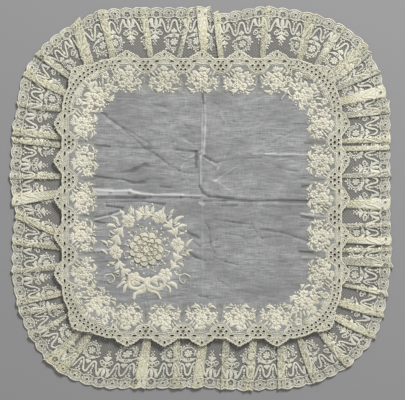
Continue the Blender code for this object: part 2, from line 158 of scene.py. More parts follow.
# The creases of the lawn, each a soft ridge, or a trough where the rise is below nothing, between two points.
CREASE_COLUMNS = ("x0", "y0", "x1", "y1", "rise", "spread")
CREASES = (
    (3.0, 112, 3.8, 85, 0.4, 1.1),
    (3.8, 85, 2.2, 48, 0.5, 1.2),
    (0.4, 96, 0, 48, 0.34, 1.1),
    (-2.2, 112, -1.4, 84, -0.14, 1.2),
    (-4.2, 76, -4.8, 56, -0.14, 1.3),
    (0, 117, 2.2, 104, -0.55, 1.5),
    (-6.8, 51, -6.2, 35, -0.66, 2.4),
    (-1.6, 46, -1.4, 13, 0.45, 1.2),
    (-3.6, 36, -3.2, 12, -0.22, 1.3),
    (-2.6, 14, 1.2, 5.9, -0.6, 1.6),
    (0.2, -10, 0.6, -118, 0.2, 1.1),
    (-2.6, -5, 1.4, -7, 0.34, 2.2),
    (-118, 9, -100, 7.6, 0.72, 2.4),
    (-100, 7.6, -79, 7.8, 0.75, 2.2),
    (-79, 7.8, -71, 5.2, 0.7, 2),
    (-71, 5.2, -56, 3.8, 0.64, 1.9),
    (-56, 3.8, -22, 3.4, 0.56, 1.7),
    (-22, 3.4, -2, 2.8, 0.5, 1.5),
    (-118, 4.4, -74, 4.2, 0.42, 1.7),
    (-116, 0.4, -63, 0.2, -0.5, 1.5),
    (-63, 0.2, -12, 0.6, -0.2, 1.3),
    (-12, 0.6, -2, -0.2, -0.45, 1.3),
    (-107, -4.3, -66, -3.2, -0.32, 1.3),
    (-65, -2.8, -41.5, -6.7, -0.45, 1.5),
    (1.2, 5.9, 7.2, 1.9, -0.62, 1.6),
    (7.2, 1.9, 18.2, 0.7, -0.66, 1.4),
    (18.2, 0.7, 34, -0.9, -0.66, 1.4),
    (34, -0.9, 53, -2.7, -0.72, 1.5),
    (53, -2.7, 72, -2.6, -0.66, 1.2),
    (72, -2.3, 118, -2.8, -0.74, 1.2),
    (1.8, -2.9, 24.5, -2.5, -0.5, 1.1),
    (24.5, -2.5, 34, -1.2, -0.4, 1.1),
    (84, -5, 118, -4.9, -0.3, 1),
    (18, 3.6, 64, 0.9, 0.2, 1.1),
    (64, 0.6, 118, 0.8, 0.16, 1.2),
    (56, -6.2, 112, -7, 0.16, 1.3),
    (22, -8, 38, -7.6, -0.4, 1.5),
    (14, -5.5, 22, -9, -0.3, 1.2),
    (-113.5, 97, -105, 92, -0.72, 1.9),
    (-105, 90.5, -87, 77.5, -0.34, 1.2),
    (-87, 78.6, -56, 59.4, -0.32, 1.2),
    (-87, 76.5, -62, 55.4, -0.3, 1.1),
    (-106, 86, -92, 76, 0.2, 2),
    (-62, 55.4, -49.5, 47.6, -0.26, 1.1),
    (-49.5, 47.6, -36, 37, -0.32, 1.2),
    (-36, 37, -25.5, 30.2, -0.34, 1.2),
    (-25.5, 30.2, -16, 27.6, -0.34, 1.2),
    (-16, 27.6, -4, 28.4, -0.36, 1.4),
    (-42, 44, -17, 20, 0.16, 1.1),
    (-60, 57.6, -44, 54.2, -0.24, 1.2),
    (-118, 58.4, -102, 57, -0.66, 1.4),
    (-102, 57, -58, 55, -0.3, 1.2),
    (-58, 55, -28, 53.6, -0.38, 1.3),
    (-28, 53.6, -6, 51.4, -0.5, 1.4),
    (-28, 48.6, -12, 41.4, -0.26, 1.2),
    (-92, 52.5, -62, 50.5, 0.18, 1.4),
    (0.5, 52.5, -17.5, 42.5, 0.32, 1.3),
    (-17.5, 42.5, -23, 33, 0.28, 1.2),
    (-21, 83, -8, 69, -0.18, 1.1),
    (-19, 66, -9, 60, -0.22, 1.2),
    (2.5, 46.5, 9, 42.6, -0.5, 1.4),
    (9, 42.6, 16, 39.2, -0.4, 1.3),
    (4.4, 42.4, 14.5, 37.4, 0.3, 1.3),
    (16, 39.8, 17.5, 31, 0.12, 1.2),
    (16.6, 31, 25.2, 45.9, 0.2, 1.1),
    (25.2, 45.9, 32.4, 66, 0.16, 1.1),
    (17, 40.4, 34, 43.4, -0.3, 1.2),
    (34, 43.4, 65, 44.6, -0.26, 1.2),
    (56, 48.6, 80, 49.4, 0.24, 1.2),
    (70, 48.4, 118, 47.8, 0.38, 1.3),
    (78, 44.6, 104, 45.4, -0.2, 1.2),
    (13.5, 18.4, 40, 35.7, 0.24, 1.3),
    (26, 24.4, 47, 38, -0.16, 1),
    (62, 50.8, 85.7, 66.3, -0.22, 1.1),
    (85.7, 66.3, 103, 75.8, -0.24, 1.1),
    (52, 71, 66, 82, 0.16, 1.1),
    (66, 82, 78, 98, 0.14, 1.1),
    (87.4, 109.4, 93.6, 117, 0.5, 1.2),
    (80, 102, 86, 108, -0.22, 1.3),
    (45, 31, 84, 34, -0.18, 1.2),
    (84, 34, 106, 28.6, -0.2, 1.2),
    (9, 21.4, 20, 16.6, 0.16, 1.3),
    (22, 14.4, 34, 5.8, 0.15, 1.3),
    (15, 19, 32, 15, 0.06, 6),
    (20, 12, 40, 9, 0.07, 7),
    (46, 12.6, 80, 10.4, 0.14, 1.3),
    (-93, 111.8, -60, 109.4, -0.28, 1.2),
    (-53, 103.4, -40, 101.4, -0.26, 2.6),
    (18.2, 96, 24.6, 85, 0.22, 1.1),
    (33, 85.2, 39, 84.2, -0.34, 1.2),
    (12, 107.4, 20, 100.4, -0.24, 1.6),
    (-92, 27, -74, 30.4, -0.14, 4.6),
    (-90, 28.4, -74, 32, -0.18, 1.8),
    (-76, 30, -60, 37, -0.17, 4.4),
    (-74, 32.6, -62, 38.2, -0.24, 1.7),
    (-64, 37.4, -52, 34.4, -0.2, 2.2),
    (-80, 19.4, -62, 20.4, -0.12, 4.6),
    (-66, 18.4, -42, 20.6, -0.14, 5),
    (-60, 22.4, -44, 21.8, -0.14, 1.8),
    (-118, 24, -87, 21, -0.6, 1.4),
    (-87, 21, -76, 17, -0.55, 1.5),
    (-76, 17, -64, 17.4, -0.5, 1.4),
    (-118, 12.1, -102, 11.8, -0.5, 1.2),
    (-46, 12.8, -35, 12.2, -0.4, 1.2),
    (-105, -8, -87, -10.6, -0.6, 1.4),
    (-117, -20.6, -101, -17.4, -0.55, 1.3),
    (-101, -17.4, -88, -12.6, -0.5, 1.3),
    (-118, -23.6, -88, -15.6, 0.4, 1.5),
    (-118, -25.8, -107, -27.2, -0.6, 1.4),
    (-118, -57.6, -96.5, -56.2, 0.4, 1.6),
    (-118, -66, -108, -65.6, -0.3, 1.4),
    (-116, -69.6, -104, -69.4, -0.36, 1.3),
    (3.6, -26.8, 8.4, -33.6, -0.36, 1.2),
    (8.4, -33.6, 9.6, -51, -0.34, 1.2),
    (9.6, -51, 13.6, -59.6, -0.26, 1.1),
    (13.6, -59.6, 21, -66, -0.2, 1.1),
    (-16, -37.4, -3.5, -43.2, -0.55, 1.7),
    (-15, -42, -2.4, -52.4, -0.32, 1.2),
    (-2.4, -52.4, 16, -45.4, -0.26, 1.2),
    (16, -45.4, 24, -38, -0.2, 1.1),
    (-15, -58.6, -6.4, -65, -0.46, 1.4),
    (-6.4, -65, 4, -68, -0.55, 1.3),
    (4, -68, 13, -67.8, -0.4, 1.2),
    (13, -65, 26, -69.4, -0.36, 1.3),
    (26, -69.4, 41, -73, -0.34, 1.3),
    (13, -23, 34, -26.2, -0.34, 1.4),
    (34, -26.2, 54, -28.4, -0.32, 1.3),
    (15, -36.6, 45, -41.8, -0.2, 1.1),
    (45, -41.8, 52, -52.4, -0.18, 1.1),
    (54.4, -25.6, 60.6, -38.6, -0.3, 1.2),
    (60.6, -38.6, 67, -45, -0.2, 1.1),
    (64, -33.6, 88, -37.4, -0.34, 1.7),
    (88, -37.4, 116, -46.6, -0.42, 1.5),
    (66, -43, 88, -41.4, -0.28, 1.4),
    (76, -40, 84, -56, 0.14, 1.1),
    (20, -72.4, 34, -78, -0.2, 1.1),
    (18, -90, 30, -97, -0.24, 1.2),
    (-24, -91.6, -10, -95.4, 0.2, 1.3),
    (-24, -80, -4, -80.6, 0.18, 1.2),
    (106, -58.4, 122, -60.2, -0.62, 1.3),
    (110, -64.8, 122, -65.4, 0.42, 1.7),
    (109, -16.6, 122, -19.4, 0.4, 1.2),
    (109, -20.4, 122, -22.6, -0.4, 1.2),
    (110, 13, 122, 14.4, -0.5, 1.4),
    (113, 60.8, 122, 59, -0.42, 1.3),
    (80, 71, 94, 68.6, -0.2, 1.1),
    (-60, -112, -20, -106, -0.26, 3),
    (-4, -107, 6, -108.4, -0.4, 1.6),
    (30, -100, 80, -108, -0.18, 2.4),
)

# The eyelets of the lawn's border: distance along from a scallop's tip, distance inwards from the valleys'
# line, half sizes along and across, and lean. The first table is for the scallops of the sides and the
# second for the corners, where the rows of small ones are added by their pitch.
EYELETS = (
    (0.0, -4.3, 1.15, 1.6, 0.0),
    (5.0, -1.9, 1.15, 1.5, 0.7),
    (8.3, 3.2, 2.4, 1.0, 0.1),
    (18.1, 3.8, 1.35, 1.15, 0.0),
    (14.4, 8.0, 1.4, 1.2, 0.0),
    (20.6, 8.0, 1.4, 1.2, 0.0),
    (18.2, 12.2, 1.3, 1.1, 0.0),
)
CORNER_EYELETS = ((0.0, -4.6, 1.0, 1.9, 0.0), (6.2, -2.5, 1.0, 1.6, 0.55), (11.4, -0.2, 0.9, 1.2, 0.7))
CORNER_ROWS = ((0.0, 3.1, 1.3, 1.1), (3.0, 7.3, 1.3, 1.1))
CORNER_ROW_PITCH = 6.0
CORNER_ROW_REACH = 38.0
CORNER_SHARE = (CORNER + VALLEY) / CORNER

# The band of close stitching along the lawn's edge: how far in it reaches below a scallop's tip, and the
# rounded lobe that hangs from it at each valley.
BAND_DEPTH = 5.8
LOBE_DEPTH = 9.8
LOBE_HALF = 12.2
CORNER_BAND_DEPTH = 10.0

# The sprays of the lawn's border, and the wreath worked in its lower left corner.
SPRAY_DEPTH = -47.8
CORNER_SPRAY_DEPTH = -56.0
WREATH_PLACE = (-59.5, -58.5)
WREATH_SIZE = 0.94


def middle_line(place):
    """Points of the middle line, and the outward direction there.

    Within each quarter the point runs across by the distance along its side, and then by the corner's
    radius times the sine of the angle turned; the quarter is turned by as many right angles as are past.
    """
    side, along = np.divmod(np.asarray(place, float) % ROUND, STRAIGHT + QUARTER)
    turn = np.clip((along - STRAIGHT) / QUARTER, 0, 1) * math.pi / 2
    across = np.minimum(along, STRAIGHT) - STRAIGHT / 2
    x = across + CORNER * np.sin(turn)
    y = STRAIGHT / 2 + CORNER * np.cos(turn)
    heading = side * math.pi / 2
    cos, sin = np.cos(heading), np.sin(heading)
    points = np.stack([x * cos + y * sin, y * cos - x * sin], axis=-1)
    outward = np.stack([np.sin(turn + heading), np.cos(turn + heading)], axis=-1)
    return points, outward


def placed(place, across, height):
    """Points at a place round the handkerchief, a distance across it and a height."""
    points, outward = middle_line(place)
    flat = points + outward * np.asarray(across, float)[..., None]
    heights = np.broadcast_to(np.asarray(height, float), flat.shape[:-1])
    return np.concatenate([flat, heights[..., None]], axis=-1) + SHIFT


def smooth_step(low, high, value):
    """0 below low, 1 above high, and 3 s squared less 2 s cubed between them."""
    share = np.clip((value - low) / (high - low), 0, 1)
    return share * share * (3 - 2 * share)


def drift(x, y, across, up, seed, waves=14):
    """Soft uneven height from -1 to 1: a sum of plane waves of about the given lengths, from a seed."""
    numbers = np.random.default_rng(seed)
    total = np.zeros(np.broadcast(x, y).shape)
    for _ in range(waves):
        kx, ky = numbers.normal(0, 1, 2) * (2 * math.pi / across, 2 * math.pi / up)
        total += np.cos(kx * x + ky * y + numbers.uniform(0, 2 * math.pi))
    return total / math.sqrt(waves) / 1.4


def pleat_turns():
    """Each pleat's two turns: b, which the cloth reaches first, and a, which it doubles back to."""
    turns = []
    for row in FOLDS:
        fold = dict(zip(FOLD_COLUMNS, row))
        ahead = fold["side"] < 0
        fold["b_out"] = fold["edge_out"] + (fold["lap_out"] if ahead else 0)
        fold["b_in"] = fold["edge_in"] + (fold["lap_in"] if ahead else 0)
        fold["a_out"] = fold["b_out"] - fold["lap_out"]
        fold["a_in"] = fold["b_in"] - fold["lap_in"]
        turns.append(fold)
    return turns


def hairpin(out, into, way, upper, lower, reach, tone):
    """Knots round a tight turn: a half circle whose radius is half a layer's pitch."""
    knots = []
    for step in range(5):
        angle = math.pi / 2 - math.pi * step / 4
        back = way * PITCH / 2 * (1 - math.cos(angle))
        level = (upper + lower) / 2 + (upper - lower) / 2 * math.sin(angle)
        knots.append((out - back, into - back, level, reach, tone))
    return knots


def straight_knots(start, end, count):
    """Knots in a row from one to another, with the level eased and the rest in equal steps."""
    share = np.linspace(0, 1, count + 1)
    knots = np.outer(1 - share, start) + np.outer(share, end)
    knots[:, 2] = start[2] + (end[2] - start[2]) * smooth_step(0, 1, share)
    return [tuple(k) for k in knots]


def frill_knots():
    """The frill's path: place at the outer edge and at the heading, layer, reach and tone of each knot.

    With them come the numbers of the knots after which a hidden turn passes over some of the design, and the
    first and last knots of every run that lies flat between two pleats.

    Going clockwise the cloth runs on to turn b, back to turn a and on again. Where the folded edge shows at
    b the cloth comes in on top and leaves at the bottom, and where it shows at a it is the other way round.
    """
    turns = pleat_turns()
    knots, skips, runs = [], {}, []
    for i, fold in enumerate(turns):
        before = turns[i - 1]
        lap_round = ROUND if i == 0 else 0
        from_top, to_top = before["side"] < 0, fold["side"] > 0
        start = np.array(
            (before["b_out"] - lap_round, before["b_in"] - lap_round, 2.0 * from_top, before["reach_a"])
        )
        end = np.array((fold["a_out"], fold["a_in"], 2.0 * to_top, fold["reach_a"]))
        gap = min(end[0] - start[0], end[1] - start[1])
        first, last = start.copy(), end.copy()
        tones = (before["tone"] * from_top, fold["tone"] * to_top)
        if from_top and to_top and gap < 2 * RAMP:
            middle = (start + end) / 2
            middle[2] = 2 * (1 - gap / (2 * RAMP))
            knots += straight_knots((*start, tones[0]), (*middle, 0), 3)
            knots += straight_knots((*middle, 0), (*end, tones[1]), 3)[1:]
        else:
            if from_top:
                first[:2] += np.minimum(RAMP, end[:2] - start[:2] - 0.2)
                first[2] = 0
                knots += straight_knots((*start, tones[0]), (*first, 0), 4)[:-1]
            if to_top:
                last[:2] -= np.minimum(RAMP, end[:2] - start[:2] - 0.2)
                last[2] = 0
            runs.append([len(knots)])
            knots += straight_knots((*first, 0), (*last, 0), max(1, round((last[0] - first[0]) / 1.6)))
            runs[-1].append(len(knots) - 1)
            if to_top:
                knots += straight_knots((*last, 0), (*end, tones[1]), 4)[1:]
        levels = (2, 1, 0) if to_top else (0, 1, 2)
        tone = fold["tone"]
        turn_b = hairpin(fold["b_out"], fold["b_in"], +1, levels[0], levels[1], fold["reach_b"], tone)
        turn_a = hairpin(fold["a_out"], fold["a_in"], -1, levels[1], levels[2], fold["reach_a"], tone)
        hidden = turn_a if to_top else turn_b
        hidden.insert(3, hidden[2])
        knots += straight_knots(knots[-1], turn_b[0], 3)[1:-1]
        before_b = len(knots)
        knots += turn_b + straight_knots(turn_b[-1], turn_a[0], 3)[1:-1]
        skips[(len(knots) if to_top else before_b) + 2] = fold["skip"]
        knots += turn_a
    return np.array(knots, float), skips, np.array(runs)


class Frill:
    """The lace as a strip: u along its cloth, v outwards (0 at its edge and less than 0 inside), h above it."""

    def __init__(self):
        knots, skips, runs = frill_knots()
        knots = np.concatenate([knots, knots[:1] + (ROUND, ROUND, 0, 0, 0)])
        outer = placed(knots[:, 0], knots[:, 3] * 0.8, knots[:, 2] * PITCH)
        inner = placed(knots[:, 1], HEADING, knots[:, 2] * PINCHED_PITCH)
        wide, narrow = (np.linalg.norm(np.diff(side, axis=0), axis=1) for side in (outer, inner))
        steps = np.maximum(np.maximum(wide, narrow * 0.75), 1e-4)
        self.length = steps.sum()
        for knot, skip in skips.items():
            steps[knot] += skip
        self.repeats = round(steps.sum() / REPEAT)
        self.whole = self.repeats * REPEAT
        self.along = START + np.concatenate([[0], np.cumsum(steps)]) * self.whole / steps.sum()
        self.knots = knots
        self.lows, self.highs = self.along[runs[:, 0]], self.along[runs[:, 1]]
        self.widths = [
            np.linalg.norm(side[runs[:, 1]] - side[runs[:, 0]], axis=1) / (self.highs - self.lows)
            for side in (inner, outer)
        ]

    def within(self, u):
        """The same place on the cloth as u, counted in the first time round."""
        return (np.asarray(u, float) - START) % self.whole + START

    def run(self, at, v):
        """The flat run that a place on the cloth is in: its ends, how narrow it is at v, and if there is one."""
        at = self.within(at)
        number = np.maximum(np.searchsorted(self.lows, at, side="right") - 1, 0)
        low, high = self.lows[number], self.highs[number]
        share = np.clip(1 + v / (REACH - HEADING), 0, 1)
        inner, outer = (width[number] for width in self.widths)
        return low, high, np.clip(inner + (outer - inner) * share, 0.3, 1), (at >= low) & (at <= high)

    def shown(self, u, v):
        """Where on the cloth the design's u shows at v.

        In a run that narrows inwards the design keeps its size about the run's middle, m, so it shows at m
        plus u less m over the narrowness, and what has no room there ends at the pleats beside it.
        """
        at = self.within(u)
        low, high, narrow, inside = self.run(u, v)
        middle = (low + high) / 2
        spread = np.clip(middle + (at - middle) / narrow, low, high)
        return np.where(inside, u - at + spread, u)

    def design(self, u, v, at):
        """The design's u that shows at a place on the cloth, for the run that the place at is in."""
        lap = at - self.within(at)
        low, high, narrow, inside = self.run(at, v)
        middle = (low + high) / 2 + lap
        return np.where(inside, middle + (u - middle) * narrow, u)

    def lie(self, u, v):
        """Points of the cloth itself, by straight steps between knots along it and between its two edges."""
        at = self.within(u)
        out, into, level, reach = (np.interp(at, self.along, self.knots[:, i]) for i in range(4))
        share = 1 + v / (reach - HEADING)
        place = into + (out - into) * share
        across = HEADING + (reach - HEADING) * share
        pitch = PINCHED_PITCH + (PITCH - PINCHED_PITCH) * np.clip(share, 0, 1)
        free = np.clip(1 - level, 0, 1) * np.clip(share, 0, 1) ** 2
        wave = 0.55 * free * (1 + drift(u, v, 26, 60, 5, 8))
        return placed(place, across, FLOOR_LAYER + pitch * level + wave)

    def __call__(self, u, v, h):
        """Points of the design, h above the cloth and square to it, by the cross product of its directions."""
        u = self.shown(u, v)
        step = 0.2
        along = self.lie(u + step, v) - self.lie(u - step, v)
        outward = self.lie(u, v + step) - self.lie(u, v - step)
        square = np.cross(along, outward)
        square /= np.maximum(np.linalg.norm(square, axis=-1, keepdims=True), 1e-9)
        return self.lie(u, v) + square * np.asarray(h, float)[..., None]

    def tone(self, u):
        """How yellow the cloth is at u, from the table of pleats."""
        return np.interp(self.within(u), self.along, self.knots[:, 4])

    def layer(self, u):
        """0 where the cloth at u lies lowest, and 1 on top of a pleat."""
        return np.interp(self.within(u), self.along, self.knots[:, 2]) / 2


def across_of(x, y):
    """How far outside the middle line a point lies: the distance to a square with round corners."""
    over_x, over_y = np.abs(x) - STRAIGHT / 2, np.abs(y) - STRAIGHT / 2
    corner = np.hypot(np.maximum(over_x, 0), np.maximum(over_y, 0))
    return corner + np.minimum(np.maximum(over_x, over_y), 0) - CORNER


def valley_creases():
    """Short creases that run in from each valley of the sides, a ridge and a trough side by side, each bent."""
    numbers = np.random.default_rng(12)
    first = -(PEAKS_A_SIDE - 2) / 2
    rows = []
    for middle in SIDE_MIDDLES:
        for n in range(PEAKS_A_SIDE - 1):
            points, outward = middle_line(middle + (first + n) * PEAK_PITCH)
            along = np.array([outward[1], -outward[0]])
            for off, rise in ((-2.2, 0.34), (0.6, -0.3), (3.2, 0.3)):
                ends = [
                    points + outward * (VALLEY - depth) + along * (off * fan + numbers.normal(0, 1.1))
                    for depth, fan in ((16.5, 0.8), (26, 1.3), (36, 2.2))
                ]
                rows += [(*start, *end, rise, 1.1) for start, end in zip(ends, ends[1:])]
    return tuple(rows)


VALLEY_CREASES = valley_creases()


def crease_height(x, y):
    """The creases: each row of the table lifts the cloth by its rise times a bell across the line it gives.

    The bell is exp of minus the square of distance over spread, and fades over the line's last tenth.
    """
    height = np.zeros(np.shape(x))
    sway = 0.5 * drift(x, y, 34, 34, 9, 5)
    for row in CREASES + VALLEY_CREASES:
        crease = dict(zip(CREASE_COLUMNS, row))
        dx, dy = crease["x1"] - crease["x0"], crease["y1"] - crease["y0"]
        share = ((x - crease["x0"]) * dx + (y - crease["y0"]) * dy) / (dx * dx + dy * dy)
        near = np.clip(share, 0, 1)
        away = np.hypot(x - crease["x0"] - near * dx, y - crease["y0"] - near * dy) + sway
        height += 1.7 * crease["rise"] * np.exp(-((away / crease["spread"]) ** 2) * 1.6)
    return height


def lawn_height(x, y):
    """Height of the lawn: low in its field, rising over the frill, with creases, wrinkles and soft swells."""
    x, y = x - SHIFT[0], y - SHIFT[1]
    across = across_of(x, y)
    rise = smooth_step(LOW_RING, HELD_RING, across) * BORDER_HEIGHT
    inside = 1 - smooth_step(-62, -50, across)
    beside = smooth_step(60, 112, np.abs(x)) * (1 - smooth_step(-52, -36, across))
    wrinkles = 0.16 * beside * drift(x, y, 60, 5.5, 21, 18) + 0.035 * drift(x, y, 24, 9, 22, 16)
    swells = (0.6 * drift(x, y, 90, 50, 31, 8) + 0.12 * drift(x, y, 40, 16, 33, 14)) * inside
    puckers = 0.14 * smooth_step(-66, -50, across) * drift(x, y, 9, 9, 41, 18)
    fade = 0.4 + 0.6 * inside
    height = 1.1 + rise + fade * crease_height(x, y) + wrinkles + swells + puckers
    return 0.3 + np.logaddexp(0, 3 * (height - 0.3)) / 3


def on_lawn(x, y, h):
    """Points h above the lawn."""
    return np.stack([x, y, lawn_height(x, y) + h], axis=-1)


def peak_places():
    """Places of the tips of the lawn's scallops, with each one's width."""
    first = -(PEAKS_A_SIDE - 1) / 2
    sides = [
        (middle + (first + n) * PEAK_PITCH, PEAK_WIDTH) for middle in SIDE_MIDDLES for n in range(PEAKS_A_SIDE)
    ]
    return sides + [(middle, CORNER_PEAK_WIDTH) for middle in CORNER_MIDDLES]


def lawn_edge(place):
    """How far out the lawn reaches: a valley line with a pointed, picot-edged scallop at each peak."""
    reach = np.full(np.shape(place), VALLEY)
    for peak, width in peak_places():
        off = np.abs((place - peak + ROUND / 2) % ROUND - ROUND / 2) / (width / 2)
        rise = PEAK * np.clip(1 - off, 0, 1) ** 0.85
        picots = PICOT * np.abs(np.sin(off * 4.5 * math.pi)) * (off < 1)
        reach = np.maximum(reach, VALLEY + rise + picots)
    return reach


def band_depth(from_tip):
    """How far in the stitched band reaches, by distance from the nearest scallop's tip along a side.

    To the band's own depth each valley adds the lobe's, times one less the square of the distance from the
    valley over the lobe's half width, to the power 0.75. It takes an array or a flow.
    """
    over = (PEAK_PITCH / 2 - from_tip) / LOBE_HALF
    left = 1 - over * over
    return BAND_DEPTH + LOBE_DEPTH * ((left + abs(left)) / 2) ** 0.75


def curve(points, steps=6, closed=False):
    """A smooth path through points: between two, the cubic whose slopes are half the chords beside them."""
    points = np.array(points, float)
    if closed:
        before, after = np.roll(points, 1, axis=0), np.roll(points, -1, axis=0)
    else:
        before = np.concatenate([points[:1], points[:-1]])
        after = np.concatenate([points[1:], points[-1:]])
    slope = (after - before) / 2
    starts = range(len(points) if closed else len(points) - 1)
    t = np.arange(steps)[:, None] / steps
    stretches = []
    for i in starts:
        j = (i + 1) % len(points)
        a, b, m, n = points[i], points[j], slope[i], slope[j]
        stretches.append(
            (2 * t**3 - 3 * t**2 + 1) * a + (t**3 - 2 * t**2 + t) * m + (3 * t**2 - 2 * t**3) * b + (t**3 - t**2) * n
        )
    path = np.concatenate(stretches)
    return path if closed else np.concatenate([path, points[-1:]])


class Stitches:
    """Raised threads, leaves and petals on a cloth, gathered as arrays and joined in one mesh.

    Each is a path with a width and a rise at every point. Across it runs a low arch: at a share s of the
    half width the height is the rise times the root of 1 less s squared. Every one is repeated at all the
    placings, each a place on the cloth, a turn and a size.
    """

    def __init__(self, cloth, placings, uneven=0.0, tone=None):
        self.cloth = cloth
        self.placings = np.atleast_2d(np.array(placings, float))
        self.uneven = uneven
        self.tone = tone or (lambda x: np.zeros(x.shape))
        self.points, self.quads, self.maps, self.tones, self.count = [], [], [], [], 0

    def add(self, path, width, rise, closed=False, ribs=3, lift=0.03):
        """Lays one path at all the placings."""
        path = np.asarray(path, float)
        n = len(path)
        ahead = np.roll(path, -1, axis=0) if closed else np.concatenate([path[1:], path[-1:]])
        behind = np.roll(path, 1, axis=0) if closed else np.concatenate([path[:1], path[:-1]])
        way = ahead - behind
        way /= np.maximum(np.linalg.norm(way, axis=1, keepdims=True), 1e-9)
        left = np.stack([-way[:, 1], way[:, 0]], axis=1)
        s = np.linspace(-1, 1, ribs)
        half = np.broadcast_to(np.asarray(width, float) / 2, (n,))
        top = np.broadcast_to(np.asarray(rise, float), (n,))
        flat = path[:, None] + left[:, None] * (s[None, :, None] * half[:, None, None])
        height = top[:, None] * np.sqrt(np.clip(1 - s**2, 0, 1))[None, :] + lift
        x0, y0, turn, size = (self.placings[:, i][:, None, None] for i in range(4))
        cos, sin = np.cos(turn) * size, np.sin(turn) * size
        x = x0 + flat[None, ..., 0] * cos - flat[None, ..., 1] * sin
        y = y0 + flat[None, ..., 0] * sin + flat[None, ..., 1] * cos
        copies = len(self.placings)
        height = np.broadcast_to(height, x.shape).ravel()
        x, y = x.ravel(), y.ravel()
        if self.uneven:
            x, y = (v + self.uneven * drift(x, y, 15, 15, 60 + i, 8) for i, v in enumerate((x, y)))
        self.points.append(self.cloth(x, y, height))
        self.tones.append(self.tone(x))
        steps = np.linalg.norm(np.diff(path, axis=0), axis=1)
        run = np.concatenate([[0], np.cumsum(steps)])
        both = np.stack([np.broadcast_to(run[:, None], (n, ribs)), s[None] * half[:, None]], axis=-1)
        self.maps.append(np.broadcast_to(both, (copies, n, ribs, 2)).reshape(-1, 2))
        index = np.arange(copies * n * ribs).reshape(copies, n, ribs) + self.count
        last = n if closed else n - 1
        here, there = index[:, :last], np.roll(index, -1, axis=1)[:, :last]
        quads = np.stack([here[..., :-1], there[..., :-1], there[..., 1:], here[..., 1:]], axis=-1)
        self.quads.append(quads.reshape(-1, 4))
        self.count += copies * n * ribs
        return self

    def cord(self, path, width, rise, closed=False):
        """A thread of one width, with its two ends drawn down unless it closes."""
        n = len(path)
        ends = np.ones(n)
        if not closed:
            ends[0] = ends[-1] = 0.45
        return self.add(path, width * ends, rise * ends, closed)

    def leaf(self, root, tip, width, rise, bow=0.0, blunt=0.75, steps=6, ribs=3):
        """A leaf or petal from root to tip: its width is the sine of the way along, to the power blunt."""
        root, tip = np.array(root, float), np.array(tip, float)
        s = np.linspace(0, 1, steps + 1)
        chord = tip - root
        side = np.array([-chord[1], chord[0]])
        path = root + s[:, None] * chord + (bow * np.sin(math.pi * s))[:, None] * side
        full = np.sin(math.pi * np.clip(s, 0.02, 0.98)) ** blunt
        return self.add(path, width * full, rise * np.maximum(full, 0.3), ribs=ribs)

    def dot(self, centre, radius, rise):
        """A small round knot."""
        centre = np.array(centre, float)
        return self.leaf(centre - (0, radius), centre + (0, radius), 2 * radius, rise, blunt=0.5, steps=4)

    def ring(self, centre, radius, width, rise, sides=12, flat=1.0, turn=0.0):
        """A closed round or oval of thread."""
        angle = np.arange(sides) / sides * 2 * math.pi
        x, y = radius * np.cos(angle), radius * flat * np.sin(angle)
        c, s = math.cos(turn), math.sin(turn)
        path = np.stack([centre[0] + x * c - y * s, centre[1] + x * s + y * c], axis=1)
        return self.add(path, width, rise, closed=True)

    def petals(self, centre, inner, outer, width, rise, number, turn=0.0, bow=0.0, blunt=0.6):
        """A round of petals about a centre, from an inner to an outer radius."""
        for k in range(number):
            angle = turn + k * 2 * math.pi / number
            way = np.array([math.cos(angle), math.sin(angle)])
            centre = np.array(centre, float)
            self.leaf(centre + way * inner, centre + way * outer, width, rise, bow, blunt)
        return self

    def take(self, other):
        """Joins another set of stitches to this one."""
        self.points += other.points
        self.quads += [quads + self.count for quads in other.quads]
        self.maps += other.maps
        self.tones += other.tones
        self.count += other.count
        return self

    def both(self, make):
        """Calls make twice, with 1 and then with -1, for a design that is alike on both sides."""
        make(1)
        make(-1)
        return self

    def mesh(self, name):
        """Joins all that was laid into one mesh, without the faces that a fold has left with no size."""
        points, quads = np.concatenate(self.points), np.concatenate(self.quads)
        maps, tones = np.concatenate(self.maps), np.concatenate(self.tones)
        used, quads = np.unique(quads[has_size(points, quads)], return_inverse=True)
        shares = {"tone": tones[used]}
        return grid_mesh(name, points[used] * MM, quads.reshape(-1, 4), {"thread": maps[used]}, shares)


def has_size(points, quads):
    """Which of the quads have an area: half the length of the cross product of their diagonals."""
    corners = points[quads]
    twice = np.linalg.norm(np.cross(corners[:, 2] - corners[:, 0], corners[:, 3] - corners[:, 1]), axis=1)
    return twice > 1e-3


def grid_mesh(name, points, quads, maps=None, shares=None):
    """A mesh from arrays of points and quads, with UV maps by point or by corner, and numbers by point."""
    mesh = bpy.data.meshes.new(name)
    mesh.vertices.add(len(points))
    mesh.vertices.foreach_set("co", np.ascontiguousarray(points, np.float32).ravel())
    mesh.loops.add(quads.size)
    mesh.loops.foreach_set("vertex_index", quads.ravel().astype(np.int32))
    mesh.polygons.add(len(quads))
    mesh.polygons.foreach_set("loop_start", np.arange(0, quads.size, quads.shape[1], dtype=np.int32))
    mesh.update(calc_edges=True)
    for label, values in (maps or {}).items():
        layer = mesh.uv_layers.new(name=label)
        by_corner = values if len(values) == quads.size else values[quads.ravel()]
        layer.uv.foreach_set("vector", np.ascontiguousarray(by_corner, np.float32).ravel())
    for label, values in (shares or {}).items():
        layer = mesh.attributes.new(label, "FLOAT", "POINT")
        layer.data.foreach_set("value", np.ascontiguousarray(values, np.float32))
    mesh.shade_smooth()
    piece = bpy.data.objects.new(name, mesh)
    bpy.context.scene.collection.objects.link(piece)
    return piece


def finished(piece, material):
    """Gives a piece its material and slot, and lets it ride on the handkerchief's one body."""
    piece.data.materials.clear()
    piece.data.materials.append(material)
    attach(piece, "root")
    return piece


